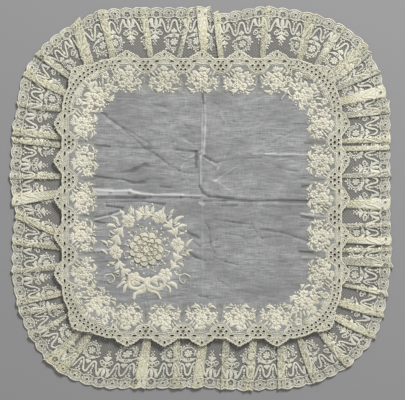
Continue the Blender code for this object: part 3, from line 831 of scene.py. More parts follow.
class Flow:
    """A socket's value. Sums, products and the like of flows and numbers add the Math nodes they need."""

    def __init__(self, recipe, socket):
        self.recipe = recipe
        self.socket = socket

    def maths(self, operation, *others):
        return self.recipe.maths(operation, self, *others)

    def __add__(self, other):
        return self.maths("ADD", other)

    __radd__ = __add__

    def __sub__(self, other):
        return self.maths("SUBTRACT", other)

    def __rsub__(self, other):
        return self.recipe.maths("SUBTRACT", other, self)

    def __mul__(self, other):
        return self.maths("MULTIPLY", other)

    __rmul__ = __mul__

    def __truediv__(self, other):
        return self.maths("DIVIDE", other)

    def __rtruediv__(self, other):
        return self.recipe.maths("DIVIDE", other, self)

    def __pow__(self, other):
        return self.maths("POWER", other)

    def __abs__(self):
        return self.maths("ABSOLUTE")

    def least(self, other):
        return self.maths("MINIMUM", other)

    def most(self, other):
        return self.maths("MAXIMUM", other)

    def below(self, other):
        return self.maths("LESS_THAN", other)

    def sine(self):
        return self.maths("SINE")

    def cosine(self):
        return self.maths("COSINE")

    def nearest(self, pitch):
        """The signed distance to the nearest whole number of pitches."""
        return ((self / pitch + 0.5).maths("FRACT") - 0.5) * pitch

    def eased(self, low, high):
        """0 below low and 1 above high, eased between them, or the other way round."""
        made = self.recipe.node(
            "ShaderNodeMapRange",
            {"interpolation_type": "SMOOTHSTEP"},
            {"Value": self, "From Min": low, "From Max": high, "To Min": 0.0, "To Max": 1.0},
        )
        return Flow(self.recipe, made.outputs["Result"])


class Recipe:
    """A material in the making, with the one method that adds any node."""

    def __init__(self, name):
        self.material = bpy.data.materials.new(name)
        self.material.use_nodes = True
        self.tree = self.material.node_tree
        self.shader = self.tree.nodes["Principled BSDF"]

    def node(self, kind, settings=None, inputs=None):
        """Adds a node of a kind, sets it up, and then fills or links its sockets."""
        made = self.tree.nodes.new(kind)
        for key, value in (settings or {}).items():
            if key == "stops":
                while len(made.color_ramp.elements) < len(value):
                    made.color_ramp.elements.new(0.5)
                for element, (position, colour) in zip(made.color_ramp.elements, value):
                    element.position = position
                    element.color = (*colour, 1)
            else:
                setattr(made, key, value)
        self.fill(made, inputs or {})
        return made

    def fill(self, made, inputs):
        """Links flows to a node's sockets, and sets numbers and colours on them."""
        for key, value in inputs.items():
            if isinstance(value, Flow):
                self.tree.links.new(value.socket, made.inputs[key])
            else:
                made.inputs[key].default_value = value

    def maths(self, operation, *values):
        made = self.node("ShaderNodeMath", {"operation": operation}, dict(enumerate(values)))
        return Flow(self, made.outputs[0])

    def places(self):
        """The three numbers of the object's own coordinates, in millimetres."""
        made = self.node("ShaderNodeTexCoord")
        apart = self.node("ShaderNodeSeparateXYZ", None, {0: Flow(self, made.outputs["Object"])})
        return [Flow(self, apart.outputs[i]) * 1000 for i in range(3)]

    def map(self, name):
        """The two numbers of a UV map."""
        made = self.node("ShaderNodeUVMap", {"uv_map": name})
        apart = self.node("ShaderNodeSeparateXYZ", None, {0: Flow(self, made.outputs[0])})
        return [Flow(self, apart.outputs[i]) for i in range(2)]

    def attribute(self, name):
        made = self.node("ShaderNodeAttribute", {"attribute_name": name})
        return Flow(self, made.outputs["Fac"])

    def joined(self, x, y, z=0.0):
        made = self.node("ShaderNodeCombineXYZ", None, {0: x, 1: y, 2: z})
        return Flow(self, made.outputs[0])

    def noise(self, vector, scale, detail=2.0, rough=0.5):
        made = self.node(
            "ShaderNodeTexNoise",
            None,
            {"Vector": vector, "Scale": scale, "Detail": detail, "Roughness": rough},
        )
        return Flow(self, made.outputs[0])

    def blend(self, share, first, second):
        """A colour between two, by share."""
        made = self.node(
            "ShaderNodeMix",
            {"data_type": "RGBA"},
            {0: share, 6: first, 7: second},
        )
        return Flow(self, made.outputs[2])

    def relief(self, height, strength, distance):
        made = self.node(
            "ShaderNodeBump", None, {"Height": height, "Strength": strength, "Distance": distance}
        )
        return Flow(self, made.outputs["Normal"])

    def done(self, **inputs):
        """Fills the shader's sockets, whose names are given with _ for a space."""
        self.fill(self.shader, {key.replace("_", " "): value for key, value in inputs.items()})
        return self.material


def four(colour):
    return (*colour[:3], 1.0)


def cream_threads(recipe, dark, light, yellow, tone):
    """Colour of old cream cotton: uneven between dark and light, and yellower by tone."""
    x, y, z = recipe.places()
    blotch = recipe.noise(recipe.joined(x, y, z), 0.035, 3.0)
    fine = recipe.noise(recipe.joined(x, y, z), 0.9, 2.0)
    uneven = (blotch * 0.7 + fine * 0.5 - 0.1).eased(0.15, 0.85)
    plain = recipe.blend(uneven, four(dark), four(light))
    return recipe.blend((tone * 0.75 + blotch.eased(0.45, 0.75) * 0.35).least(1), plain, four(yellow))


def net_material(lace):
    """The lace's ground: a diagonal net, closed to cloth along its edge, with rings and stars pierced in it.

    A thread lies where the distance to the nearest of two slanting sets of lines is under half its width. The net's
    threads, gaps and openings get painted shade, and a pleat's top layer a painted highlight.
    """
    recipe = Recipe("lace_ground")
    u, v = recipe.map("strip")
    w = v * -1
    half = lace.net_thread / 2
    slant_a = abs((u + w).nearest(lace.net_pitch * math.sqrt(2))) / math.sqrt(2)
    slant_b = abs((u - w).nearest(lace.net_pitch * math.sqrt(2))) / math.sqrt(2)
    threads = 1 - slant_a.least(slant_b).eased(half * 0.7, half * 1.3)
    x = u.nearest(REPEAT)
    sx = u.nearest(SCALLOP)
    limit = (u * (2 * math.pi / SCALLOP)).cosine() * 0.9 + 10.6
    band = 1 - (w - limit).eased(-0.3, 0.3)
    far = abs(x).eased(SCALLOP / 2 - 0.1, SCALLOP / 2 + 0.1)
    away = w - 7.6
    radius = (x * x + away * away) ** 0.5
    angle = x.maths("ARCTAN2", away)
    sector = angle.nearest(2 * math.pi / 5)
    point_x, point_y = radius * sector.cosine() - 2.05, radius * sector.sine()
    star = (point_x * point_x * 0.6 + point_y * point_y) ** 0.5
    star_hole = (1 - star.eased(0.95, 1.1)) * (1 - far)
    ring_y = w - 5.8
    ring = (sx * sx + ring_y * ring_y) ** 0.5
    ring_hole = (1 - ring.eased(1.3, 1.5)) * far
    slit_x, slit_y = SCALLOP / 2 - abs(sx), w - 8.6
    slit = (slit_x * slit_x + slit_y * slit_y * 0.3) ** 0.5
    slit_hole = 1 - slit.eased(0.75, 1.0)
    side_y = w - 9.6
    side = ((abs(sx) - 2.9) * (abs(sx) - 2.9) + side_y * side_y) ** 0.5
    side_hole = 1 - side.eased(0.45, 0.65)
    holes = star_hole.most(ring_hole).most(slit_hole).most(side_hole)
    pressed = recipe.attribute("layer").eased(0.55, 0.95)
    mottled = recipe.noise(recipe.joined(u, w), 0.7, 2.0).eased(0.3, 0.7)
    tone = recipe.attribute("tone")
    # Painted highlight: the top layer of a yellowed pleat is painted lighter, towards white, fading towards the
    # heading; it also closes the cloth there and weakens the painted shade.
    pleat_highlight = tone.eased(0.45, 1.0) * pressed * (1 - w.eased(22, 46) * 0.7)
    closed = (mottled * 0.4 + pleat_highlight * 0.3 + 0.42).least(1)
    cover = threads.most(band * (mottled * 0.4 + 0.42)).most(pressed * closed)
    # Painted shade: the holes keep part of their film, painted with the brownish grey shade, so that they read dark.
    cover = cover * (1 - holes * (0.66 - pressed * 0.31))
    cream = cream_threads(recipe, lace.dark, lace.light, lace.yellow, tone)
    highlighted_cream = recipe.blend(pleat_highlight * 0.7, cream, four(lace.motif))
    # Painted shade: speckled gaps in the edge band and the pleats, and the holes, are painted towards the brownish grey
    # shade that falls in the open-work.
    gap_shade = 1 - recipe.noise(recipe.joined(u, w), 0.5, 3.0, 0.65).eased(0.4, 0.58)
    shaded = (gap_shade * band.most(pressed) * (0.82 - pleat_highlight * 0.62)).most(holes * 0.9)
    # Painted shade: outside the edge band and the pleats' top layer, the net's cream threads are painted brownish grey,
    # as they look in shade over a dark ground.
    net_shade_share = (1 - band.most(pressed)) * 0.85
    colour = recipe.blend(shaded, recipe.blend(net_shade_share, highlighted_cream, four(lace.net)), four(lace.shade))
    weave = (u * (2 * math.pi / 0.7)).sine() * (w * (2 * math.pi / 0.7)).sine()
    return recipe.done(
        Base_Color=colour,
        Roughness=0.9,
        Alpha=cover,
        Specular_IOR_Level=0.15,
        Normal=recipe.relief(weave * 0.5 + band * 0.6 + mottled * pressed * 1.5, 0.4, 0.0003),
    )


def thread_material(name, dark, light, yellow, stitch, toned):
    """Cotton threads laid side by side: fine ridges across each leaf or cord, and uneven cream."""
    recipe = Recipe(name)
    along, across = recipe.map("thread")
    tone = recipe.attribute("tone") if toned else recipe.noise(recipe.joined(*recipe.places()), 0.02) * 0.4
    colour = cream_threads(recipe, dark, light, yellow, tone)
    ridges = ((along + across * 0.35) * (2 * math.pi / stitch)).sine()
    # Painted shade: the grooves between the stitches are painted a little darker.
    groove_shade = recipe.blend(ridges.eased(-1.0, 0.2), four([c * 0.8 for c in dark]), four(light))
    mixed = recipe.node("ShaderNodeMix", {"data_type": "RGBA", "blend_type": "MULTIPLY"}, {0: 0.25, 6: colour, 7: groove_shade})
    return recipe.done(
        Base_Color=Flow(recipe, mixed.outputs[2]),
        Roughness=0.78,
        Specular_IOR_Level=0.25,
        Normal=recipe.relief(ridges, 0.5, 0.0002),
    )


def lawn_material(lawn):
    """Fine lawn: uneven threads both ways, cream stitching along the edge, and eyelets pierced in it.

    Each eyelet is an oval: with its offsets over its half sizes as p and q, it is open where p squared plus q squared
    is under 1. Shade is painted into the creases' troughs, cloudy patches, the eyelets' rims and the cloth near the
    sprays, and a highlight along the ridges.
    """
    recipe = Recipe("lawn")
    x, y, z = recipe.places()
    a, b = recipe.map("border")
    sway = recipe.noise(recipe.joined(x * 0.03, y * 0.03), 1.0, 1.0) * 6
    weft = recipe.noise(recipe.joined(x * 0.085, y * 1.25 + sway), 1.0, 3.0, 0.6)
    warp = recipe.noise(recipe.joined(x * 1.3 + sway, y * 0.09), 1.0, 2.0, 0.6)
    cloud = recipe.noise(recipe.joined(x * 0.014, y * 0.026), 1.0, 3.0, 0.55)
    streaky_patches = recipe.noise(recipe.joined(x * 0.05 + 7, y * 0.12), 1.0, 3.0, 0.6)
    slubs = recipe.noise(recipe.joined(x * 0.04, y * 0.24 + sway * 0.3), 1.0, 3.0, 0.55)
    threads = weft * 0.5 + warp * 0.24 + slubs * 0.26
    worn = recipe.blend((threads * 4.4 - 1.68).least(1).most(0), four(lawn.dark), four(lawn.light))
    # Painted shade: cloudy and streaky patches of the field are painted darker grey, as the shade of soft wrinkles in
    # the sheer cloth.
    cloudy_shade = (cloud.eased(0.38, 0.68) * 0.6 + streaky_patches.eased(0.5, 0.75) * 0.55).least(1)
    shaded = recipe.blend(cloudy_shade, worn, four(lawn.shade))
    fold = recipe.attribute("fold")
    # Painted highlight: the cloth along the creases' ridges is painted pale grey, where the light catches them.
    ridge_highlighted = recipe.blend(fold.eased(0.1, 0.7) * 0.72, shaded, four(lawn.ridge))
    # Painted shade: the cloth in the creases' troughs is painted dark grey.
    crease_shaded = recipe.blend((fold * -1).eased(0.1, 0.7) * 0.62, ridge_highlighted, four(lawn.crease))
    spot_x, spot_y = (x - 6) / 6, (y + 125) / 4
    stain = 1 - (spot_x * spot_x + spot_y * spot_y + weft * 0.8).eased(0.2, 1.8)
    stained = recipe.blend(stain * 0.35, crease_shaded, four(lawn.stain))

    def oval(along, inward, row):
        off, depth, half_across, half_inward, lean = row
        cos, sin = math.cos(lean), math.sin(lean)
        across, out = along - off, depth - inward
        p = (across * cos - out * sin) / half_across
        q = (across * sin + out * cos) / half_inward
        return (p * p + q * q) ** 0.5

    def nearest_of(ovals):
        near = ovals[0]
        for one in ovals[1:]:
            near = near.least(one)
        return near

    peak = abs(a.nearest(PEAK_PITCH))
    in_corner = abs(a).eased(103.0, 103.3)
    bend = abs((abs(a) - STRAIGHT / 2 - QUARTER / 2) * CORNER_SHARE)
    near_side = nearest_of([oval(peak, b, row) for row in EYELETS])
    rows = [
        oval((bend - start).nearest(CORNER_ROW_PITCH), b, (0, depth, across, inward, 0))
        for start, depth, across, inward in CORNER_ROWS
    ]
    near_corner = nearest_of([oval(bend, b, row) for row in CORNER_EYELETS] + rows)
    near = near_side * (1 - in_corner) + near_corner * in_corner
    hole = 1 - near.eased(0.62, 0.8)
    # Painted shade: a dark ring is painted round each eyelet, as the shade in its rim.
    rim = 1 - near.eased(0.98, 1.12)
    limit = band_depth(peak) * (1 - in_corner) + in_corner * CORNER_BAND_DEPTH
    worked = 1 - (b - limit).eased(-0.6, 0.6)
    grain = recipe.noise(recipe.joined(x, y, z), 1.1, 3.0)
    # Partly painted shade: the stitched band's uneven grain runs down to a dark cream that also stands for the shade in
    # the gaps between its threads.
    thread = recipe.blend(grain.eased(0.36, 0.6), four(lawn.stitch_dark), four(lawn.stitch_light))
    # Painted shade: the cloth near the sprays is speckled towards the dark stitching colour, as the shade of its
    # puckers.
    near_sprays = 1 - (b - 40).eased(-6, 2)
    pucker_shaded = recipe.blend(near_sprays * grain.eased(0.4, 0.62) * 0.55, stained, four(lawn.stitch_dark))
    bordered = recipe.blend(rim, recipe.blend(worked * 0.9, pucker_shaded, thread), four(lawn.rim))
    cover = (1 - hole) * (worked * 0.12 + 0.87)
    bump = threads * 0.5 + worked * grain * 2.4 + near_sprays * grain * 1.2
    return recipe.done(
        Base_Color=bordered,
        Roughness=0.82,
        Alpha=cover,
        Specular_IOR_Level=0.2,
        Normal=recipe.relief(bump, 0.7, 0.0004),
    )


def lace_design(stitches):
    """One repeat of the lace, with its tulip at u = 0 and v less than 0 going inwards from the edge."""
    px = 1.1

    def at(u, w):
        return (u * px, -w * px)

    def path(*pairs):
        return curve([at(*pair) for pair in pairs], 5)

    stitches.leaf(at(0, 19.8), at(0, 10.8), 3.9, 0.55, ribs=5, blunt=0.5)

    def side_petal(way):
        stitches.leaf(at(-1.7 * way, 19.4), at(-3.9 * way, 11.0), 2.9, 0.5, 0.16 * way, 0.5)
        stitches.cord(path((-4.7 * way, 11.2), (-5.2 * way, 14.5), (-3.8 * way, 18.6), (0, 20.8)), 0.95, 0.5)
        stitches.leaf(at(0, 20.9), at(-6.4 * way, 18.9), 1.9, 0.4, -0.18 * way)
        stitches.cord(path((0, 21.2), (-2.4 * way, 22.5), (-5.2 * way, 22.6)), 0.9, 0.36)
        stitches.ring(at(-4.5 * way, 25.6), 2.3 * px, 1.3, 0.45, 10, 0.74, 0.5 * way)
        stitches.dot(at(-4.5 * way, 25.6), 0.6, 0.3)
        stitches.leaf(at(0, 27.0), at(-4.4 * way, 30.8), 3.5, 0.5, 0.2 * way, 0.6)
        stitches.dot(at(-1.4 * way, 33.6), 1.1, 0.42)
        stitches.dot(at(-1.1 * way, 37.0), 0.75, 0.36)
        stitches.leaf(at(-0.4 * way, 23.4), at(-2.4 * way, 27.2), 1.5, 0.36, 0.1 * way)

    stitches.both(side_petal)
    stitches.dot(at(0, 15.0), 0.8, 0.85)
    stitches.cord(path((0, 20.6), (0, 28.4)), 1.0, 0.42)
    stitches.dot(at(0, 31.8), 1.2, 0.46)
    stitches.dot(at(0, 35.3), 1.0, 0.42)

    snake = path(
        (4.9, 11.4), (6.2, 13.5), (7.8, 16.6), (8.9, 20.0), (10.1, 23.2), (11.9, 25.0), (13.7, 23.2),
        (14.9, 19.8), (15.6, 16.4), (16.7, 14.0), (18.3, 13.1), (19.9, 14.0), (21.0, 16.4), (21.7, 19.8),
        (22.9, 23.2), (24.7, 25.0), (26.5, 23.2), (27.7, 20.0), (28.8, 16.6), (30.4, 13.5), (31.7, 11.4),
    )
    stitches.cord(snake, 1.95, 0.62)

    def bell(way):
        middle = 18.3 + 6.3 * way
        stitches.dot(at(middle - 1.6, 12.6), 1.05, 0.46)
        stitches.dot(at(middle + 1.6, 12.6), 1.05, 0.46)
        stitches.leaf(at(middle, 12.8), at(middle, 16.4), 1.9, 0.46)
        stitches.dot(at(middle, 17.4), 0.85, 0.4)
        stitches.leaf(at(middle, 18.2), at(middle, 22.4), 2.5, 0.5)
        stitches.dot(at(18.3 + 1.6 * way, 23.8), 1.65, 0.48)
        stitches.leaf(at(18.3 + 0.7 * way, 26.2), at(18.3 + 5.8 * way, 28.0), 2.9, 0.46, -0.16 * way)
        horn = path((18.3 + 1.0 * way, 29.4), (18.3 + 4.6 * way, 29.0), (18.3 + 7.8 * way, 29.9), (18.3 + 9.4 * way, 32.0))
        stitches.cord(horn, 1.35, 0.42)

    stitches.both(bell)
    stitches.leaf(at(18.3, 24.6), at(18.3, 20.6), 3.0, 0.48)
    stitches.cord(path((18.3, 24.0), (18.3, 30.0)), 0.95, 0.4)
    heart = at(18.9, 34.6)
    stitches.petals(heart, 1.5, 4.3, 2.3, 0.6, 7, 0.4, 0.0, 0.5)
    stitches.petals(heart, 0.3, 2.2, 1.5, 0.5, 5, 0.9, 0.0, 0.5)
    sprigs = ((-7.2, 34.6), (-5.6, 40.0), (0.2, 43.0), (6.0, 40.4), (8.6, 34.6), (6.6, 29.9))
    for u, w in sprigs:
        tip = np.array(at(18.3 + u, w))
        way = tip - heart
        aside = np.array([-way[1], way[0]]) / np.linalg.norm(way)
        stitches.leaf(heart + way * 1.04, heart + way * 1.38, 2.0, 0.5, blunt=0.5)
        stitches.cord([heart + way * share for share in (0.55, 0.8, 1.05)], 0.8, 0.36)
        for sign in (-1, 1):
            for share, size in ((0.68, 2.5), (0.92, 2.8)):
                middle = heart + way * share + aside * sign * 0.5
                stitches.leaf(middle, middle + aside * sign * size + way * 0.12, 1.6, 0.46, blunt=0.5)

    for k in range(3):
        middle = k * 12.2
        arc = [
            (middle * px + x, -SCALLOP_DEPTH * (1 - abs(math.cos(math.pi * x / SCALLOP))) - 0.6)
            for x in np.linspace(-SCALLOP / 2, SCALLOP / 2, 9)
        ]
        stitches.cord(arc, 1.4, 0.55)
        inner = [(middle * px + 5.2 * math.sin(t), -6.8 + 4.3 * math.cos(t)) for t in np.linspace(-2.0, 2.0, 11)]
        stitches.cord(inner, 0.9, 0.42)
        if k:
            stitches.ring((middle * px, -5.8), 1.95, 0.95, 0.45, 10)
        else:
            stitches.ring((0, -7.6), 3.8, 0.9, 0.4, 14)
            stitches.dot((0, -7.6), 0.55, 0.4)
        foot = [(middle * px + x, -11.1 - 0.9 * math.cos(2 * math.pi * x / SCALLOP)) for x in np.linspace(-6.7, 6.7, 9)]
        stitches.cord(foot, 1.1, 0.42)


def spray_design(stitches, way=1):
    """One spray of the lawn's border, with its top towards the edge. Where way is -1 it is turned over."""

    def leaf(x0, y0, x1, y1, width, rise=0.8, bow=0.12, blunt=0.6):
        stitches.leaf((x0 * way, y0), (x1 * way, y1), width, rise, bow * way, blunt)

    def flower(x, y, inner, outer, width, rise, number, turn):
        stitches.petals((x * way, y), inner, outer, width, rise, number, turn, 0.0, 0.5)
        stitches.dot((x * way, y), 0.85, rise + 0.2)

    flower(0.4, 1.4, 2.6, 7.0, 4.9, 1.0, 8, 0.3)
    stitches.petals((0.4 * way, 1.4), 1.0, 4.3, 3.4, 1.4, 6, 0.7, 0.0, 0.5)
    for x, y, width in ((-3.8, 11.4, 2.4), (-1.7, 13.6, 2.4), (1.0, 14.3, 2.6), (3.8, 13.4, 2.4), (6.0, 11.0, 2.4)):
        leaf(1.0, 8.4, x, y, width, 0.9)
    leaf(-3.6, 6.2, -9.8, 9.0, 4.4, 0.95)
    leaf(-5.6, 3.4, -11.6, 5.6, 3.4, 0.85)
    leaf(4.6, 6.0, 8.6, 11.2, 3.3, 0.85)
    for side in (1, -1):
        leaf(7.4 * side, 4.0, 10.4 * side, 8.6, 1.9, 0.95, 0.0)
        leaf(9.6 * side, 2.0, 14.9 * side, 8.1, 1.9, 0.95, 0.0)
    flower(-11.8, -1.6, 1.2, 4.6, 3.3, 0.9, 6, 0.2)
    flower(12.4, -2.4, 1.1, 4.3, 3.1, 0.9, 6, 0.7)
    flower(-4.2, -7.8, 1.1, 4.5, 3.3, 1.05, 7, 0.1)
    flower(4.4, -6.8, 1.0, 3.9, 2.9, 0.95, 6, 0.5)
    leaf(1.0, -9.6, 9.6, -13.4, 2.5, 1.05, -0.18)
    leaf(3.4, -9.6, 11.6, -11.2, 2.1, 0.95, -0.2)
    leaf(-8.0, -10.6, -15.6, -9.4, 2.5, 1.0, 0.18)
    leaf(-6.6, -12.0, -12.0, -14.0, 2.1, 0.95, 0.16)
    leaf(13.2, -6.4, 17.2, -4.0, 2.2, 0.8)
    leaf(13.0, -7.4, 17.8, -8.6, 2.2, 0.8)
    leaf(12.2, -7.6, 14.6, -12.0, 2.2, 0.8)
    leaf(-14.4, 2.4, -17.0, 6.2, 2.1, 0.8)
    leaf(-15.6, -4.6, -18.0, -6.6, 2.0, 0.8)
    leaf(-7.2, 0.6, -9.6, 3.4, 2.2, 0.75)
    leaf(7.4, -0.4, 9.4, 1.8, 2.2, 0.75)
    leaf(-7.4, -3.6, -9.0, -7.8, 2.3, 0.8)
    leaf(7.8, -3.0, 9.0, -8.4, 2.3, 0.8)
    leaf(0.2, -4.8, 0.0, -8.4, 2.2, 0.75)
    leaf(15.8, 0.6, 17.6, 3.4, 1.9, 0.75)
    for x, y in ((-4.6, -13.4), (-1.6, -13.0), (0.6, -14.6), (6.4, -15.0), (-9.2, -15.2), (11.2, 5.0), (-12.6, 3.0)):
        stitches.dot((x * way, y), 0.95, 0.75)


def corner_spray_design(stitches):
    """What a corner's spray has beside the common one: two rosettes, and leaves striped like shells."""

    def half(way):
        stitches.petals((20.5 * way, 9.0), 1.1, 4.4, 3.1, 0.9, 7, 0.4)
        stitches.dot((20.5 * way, 9.0), 0.9, 1.0)
        for k in range(4):
            radius = 2.6 + 1.9 * k
            arc = [
                ((11.5 + radius * math.cos(t)) * way, 10.5 + radius * math.sin(t)) for t in np.linspace(0.1, 2.2, 7)
            ]
            stitches.cord(arc, 1.25, 0.8)
        stitches.leaf((16.0 * way, 1.0), (22.0 * way, 3.4), 2.8, 0.9, 0.15 * way, 0.6)
        stitches.leaf((17.0 * way, -2.0), (22.4 * way, -2.6), 2.4, 0.9, -0.15 * way, 0.6)
        stitches.leaf((8.0 * way, 14.0), (10.5 * way, 19.5), 2.8, 0.9, 0.1 * way, 0.6)
        centre = CORNER + CORNER_SPRAY_DEPTH
        for inwards, far in ((1.6, 0.52), (3.6, 0.4)):
            radius = CORNER + VALLEY - CORNER_BAND_DEPTH - inwards
            arc = [(radius * math.sin(t) * way, radius * math.cos(t) - centre) for t in np.linspace(0.1, far, 9)]
            stitches.cord(arc, 1.1, 0.7)

    stitches.both(half)
    stitches.leaf((0, 15), (0, 22), 4.0, 1.0, 0.0, 0.5)
    stitches.leaf((-3, 15), (-5.5, 20.5), 3.0, 0.9, 0.1, 0.5)
    stitches.leaf((3, 15), (5.5, 20.5), 3.0, 0.9, -0.1, 0.5)


def wreath_design(stitches):
    """A wreath tied with a bow round one large blossom, worked as padded satin stitch."""
    for number, inner, outer, width, rise, turn in (
        (11, 10.0, 20.0, 9.4, 0.7, 0.0),
        (9, 5.6, 14.0, 8.6, 1.0, 0.3),
        (7, 1.8, 8.2, 6.0, 1.3, 0.0),
    ):
        stitches.petals((0, 4), inner, outer, width, rise, number, turn, 0.0, 0.45)
        for k in range(number):
            angle = turn + k * 2 * math.pi / number
            cos, sin, half = math.cos(angle), math.sin(angle), width / 2 + 0.3
            outline = [
                (cos * r - sin * t, 4 + sin * r + cos * t)
                for r, t in (
                    (inner + 1, -half * 0.8), ((inner + outer) / 2, -half), (outer - 1, -half * 0.7), (outer + 0.6, 0),
                    (outer - 1, half * 0.7), ((inner + outer) / 2, half), (inner + 1, half * 0.8),
                )
            ]
            stitches.cord(curve(outline, 3), 0.8, rise + 0.45)
            stitches.cord([(cos * r, 4 + sin * r) for r in np.linspace(inner + 1.5, outer - 3, 4)], 0.6, rise + 0.35)
    stitches.dot((0, 4), 2.2, 1.8)
    stitches.petals((0, 4), 20.9, 25.0, 2.4, 0.7, 22, 0.17)
    for k in range(12):
        angle = k * math.pi / 6 + 0.26
        hook = [
            ((24.5 + 2.4 * math.cos(t)) * math.cos(angle) - 2.4 * math.sin(t) * math.sin(angle),
             4 + (24.5 + 2.4 * math.cos(t)) * math.sin(angle) + 2.4 * math.sin(t) * math.cos(angle))
            for t in np.linspace(-2.6, 1.4, 10)
        ]
        stitches.cord(hook, 0.8, 0.6)
    around = 24
    for k in range(around):
        angle = k * 2 * math.pi / around + 0.12
        centre = np.array([36 * math.cos(angle), 4 + 39 * math.sin(angle)])
        along = np.array([-36 * math.sin(angle), 39 * math.cos(angle)]) / 39
        out = np.array([math.cos(angle), math.sin(angle)])
        if k % 4 == 0:
            stitches.petals(centre, 1.4, 8.2, 6.2, 1.1, 6, angle, 0.0, 0.45)
            stitches.petals(centre, 0.6, 4.4, 3.6, 1.5, 5, angle + 0.5, 0.0, 0.45)
            stitches.dot(centre, 1.4, 1.8)
        else:
            stitches.leaf(centre, centre + along * 8.5 + out * 7.0, 5.0, 1.0, 0.15, 0.55)
            stitches.leaf(centre, centre + along * 8.5 - out * 6.4, 4.4, 1.0, -0.15, 0.55)
            stitches.leaf(centre, centre + along * 9.5, 3.4, 1.1, 0.0, 0.55)
            stitches.leaf(centre + out * 4, centre + out * 11.5 - along * 2.0, 2.8, 0.9, 0.1, 0.55)
            spiral = [
                centre + out * (8 + (3.2 - 0.45 * t) * math.cos(t)) + along * (3 + (3.2 - 0.45 * t) * math.sin(t))
                for t in np.linspace(0.0, 5.4, 14)
            ]
            stitches.cord(spiral, 0.8, 0.6)
            if k % 2:
                stitches.dot(centre + out * 13.0, 1.3, 0.9)
                stitches.dot(centre - out * 9.5, 1.2, 0.9)
    ringed = [(36 * math.cos(t), 4 + 39 * math.sin(t)) for t in np.linspace(0, 2 * math.pi, 60, endpoint=False)]
    stitches.add(ringed, 1.7, 0.9, closed=True)

    def loop(way):
        loops = curve([(0, -38), (8 * way, -31), (18 * way, -31.5), (20 * way, -40), (10 * way, -44), (0, -38)], 6)
        stitches.cord(loops, 4.2, 1.2)
        tail = curve([(0, -38.5), (4 * way, -46), (12 * way, -48.5), (16 * way, -56)], 6)
        stitches.cord(tail, 3.8, 1.1)
        curl = [
            ((43 + (8 - 1.0 * t) * math.cos(t)) * way, -33 + (8 - 1.0 * t) * math.sin(t))
            for t in np.linspace(0.2, 6.6, 22)
        ]
        stitches.cord(curl, 1.4, 0.8)
        for x0, y0, x1, y1, width in (
            (24, -36, 35, -43, 4.2), (22, -38, 27, -48, 3.6), (33, 33, 43, 42, 4.2), (28, 39, 32, 50, 3.6),
            (36, 28, 47, 30, 3.6), (46, -4, 54, 2, 3.6), (46, 6, 54, 14, 3.6), (20, 42, 20, 52, 3.2),
        ):
            stitches.leaf((x0 * way, y0), (x1 * way, y1), width, 0.95, 0.15 * way, 0.55)

    stitches.both(loop)
    stitches.dot((0, -38), 3.6, 1.8)
    stitches.leaf((0, 44), (0, 54), 5.0, 1.1, 0.0, 0.5)
    stitches.leaf((-3, 44), (-8, 52), 3.8, 1.0, 0.12, 0.5)
    stitches.leaf((3, 44), (8, 52), 3.8, 1.0, -0.12, 0.5)


class LaceSettings(PropertyGroup):
    net_pitch: FloatProperty(name="Net pitch", description="Distance between the net's threads, in millimetres", default=2.3, min=0.5)
    net_thread: FloatProperty(name="Net thread", description="Width of the net's threads, in millimetres", default=0.46, min=0.1)
    step: FloatProperty(name="Step", description="Distance between the rows of faces along the cloth, in millimetres", default=1.5, min=0.5)
    rows: IntProperty(name="Rows", description="Number of rows of faces across the frill", default=14, min=4)
    dark: FloatVectorProperty(name="Dark thread", description="Darker cream of the lace", subtype="COLOR", default=(0.6, 0.59, 0.48))
    light: FloatVectorProperty(name="Light thread", description="Lighter cream of the lace", subtype="COLOR", default=(0.84, 0.83, 0.73))
    motif: FloatVectorProperty(name="Motif thread", description="Nearly white of the raised motifs", subtype="COLOR", default=(0.93, 0.92, 0.85))
    # Painted shade: the brownish grey painted into the lace's gaps and openings, where shadow falls.
    shade: FloatVectorProperty(name="Shade", description="Brownish grey of the lace's openings", subtype="COLOR", default=(0.2, 0.19, 0.145))
    # Painted shade: the net's cream threads are painted this brownish grey, as they look in shade.
    net: FloatVectorProperty(name="Net", description="Brownish grey of the fine net, as it looks over a dark ground", subtype="COLOR", default=(0.16, 0.15, 0.115))
    yellow: FloatVectorProperty(name="Aged thread", description="Yellowed cream of the pleats", subtype="COLOR", default=(0.84, 0.79, 0.53))


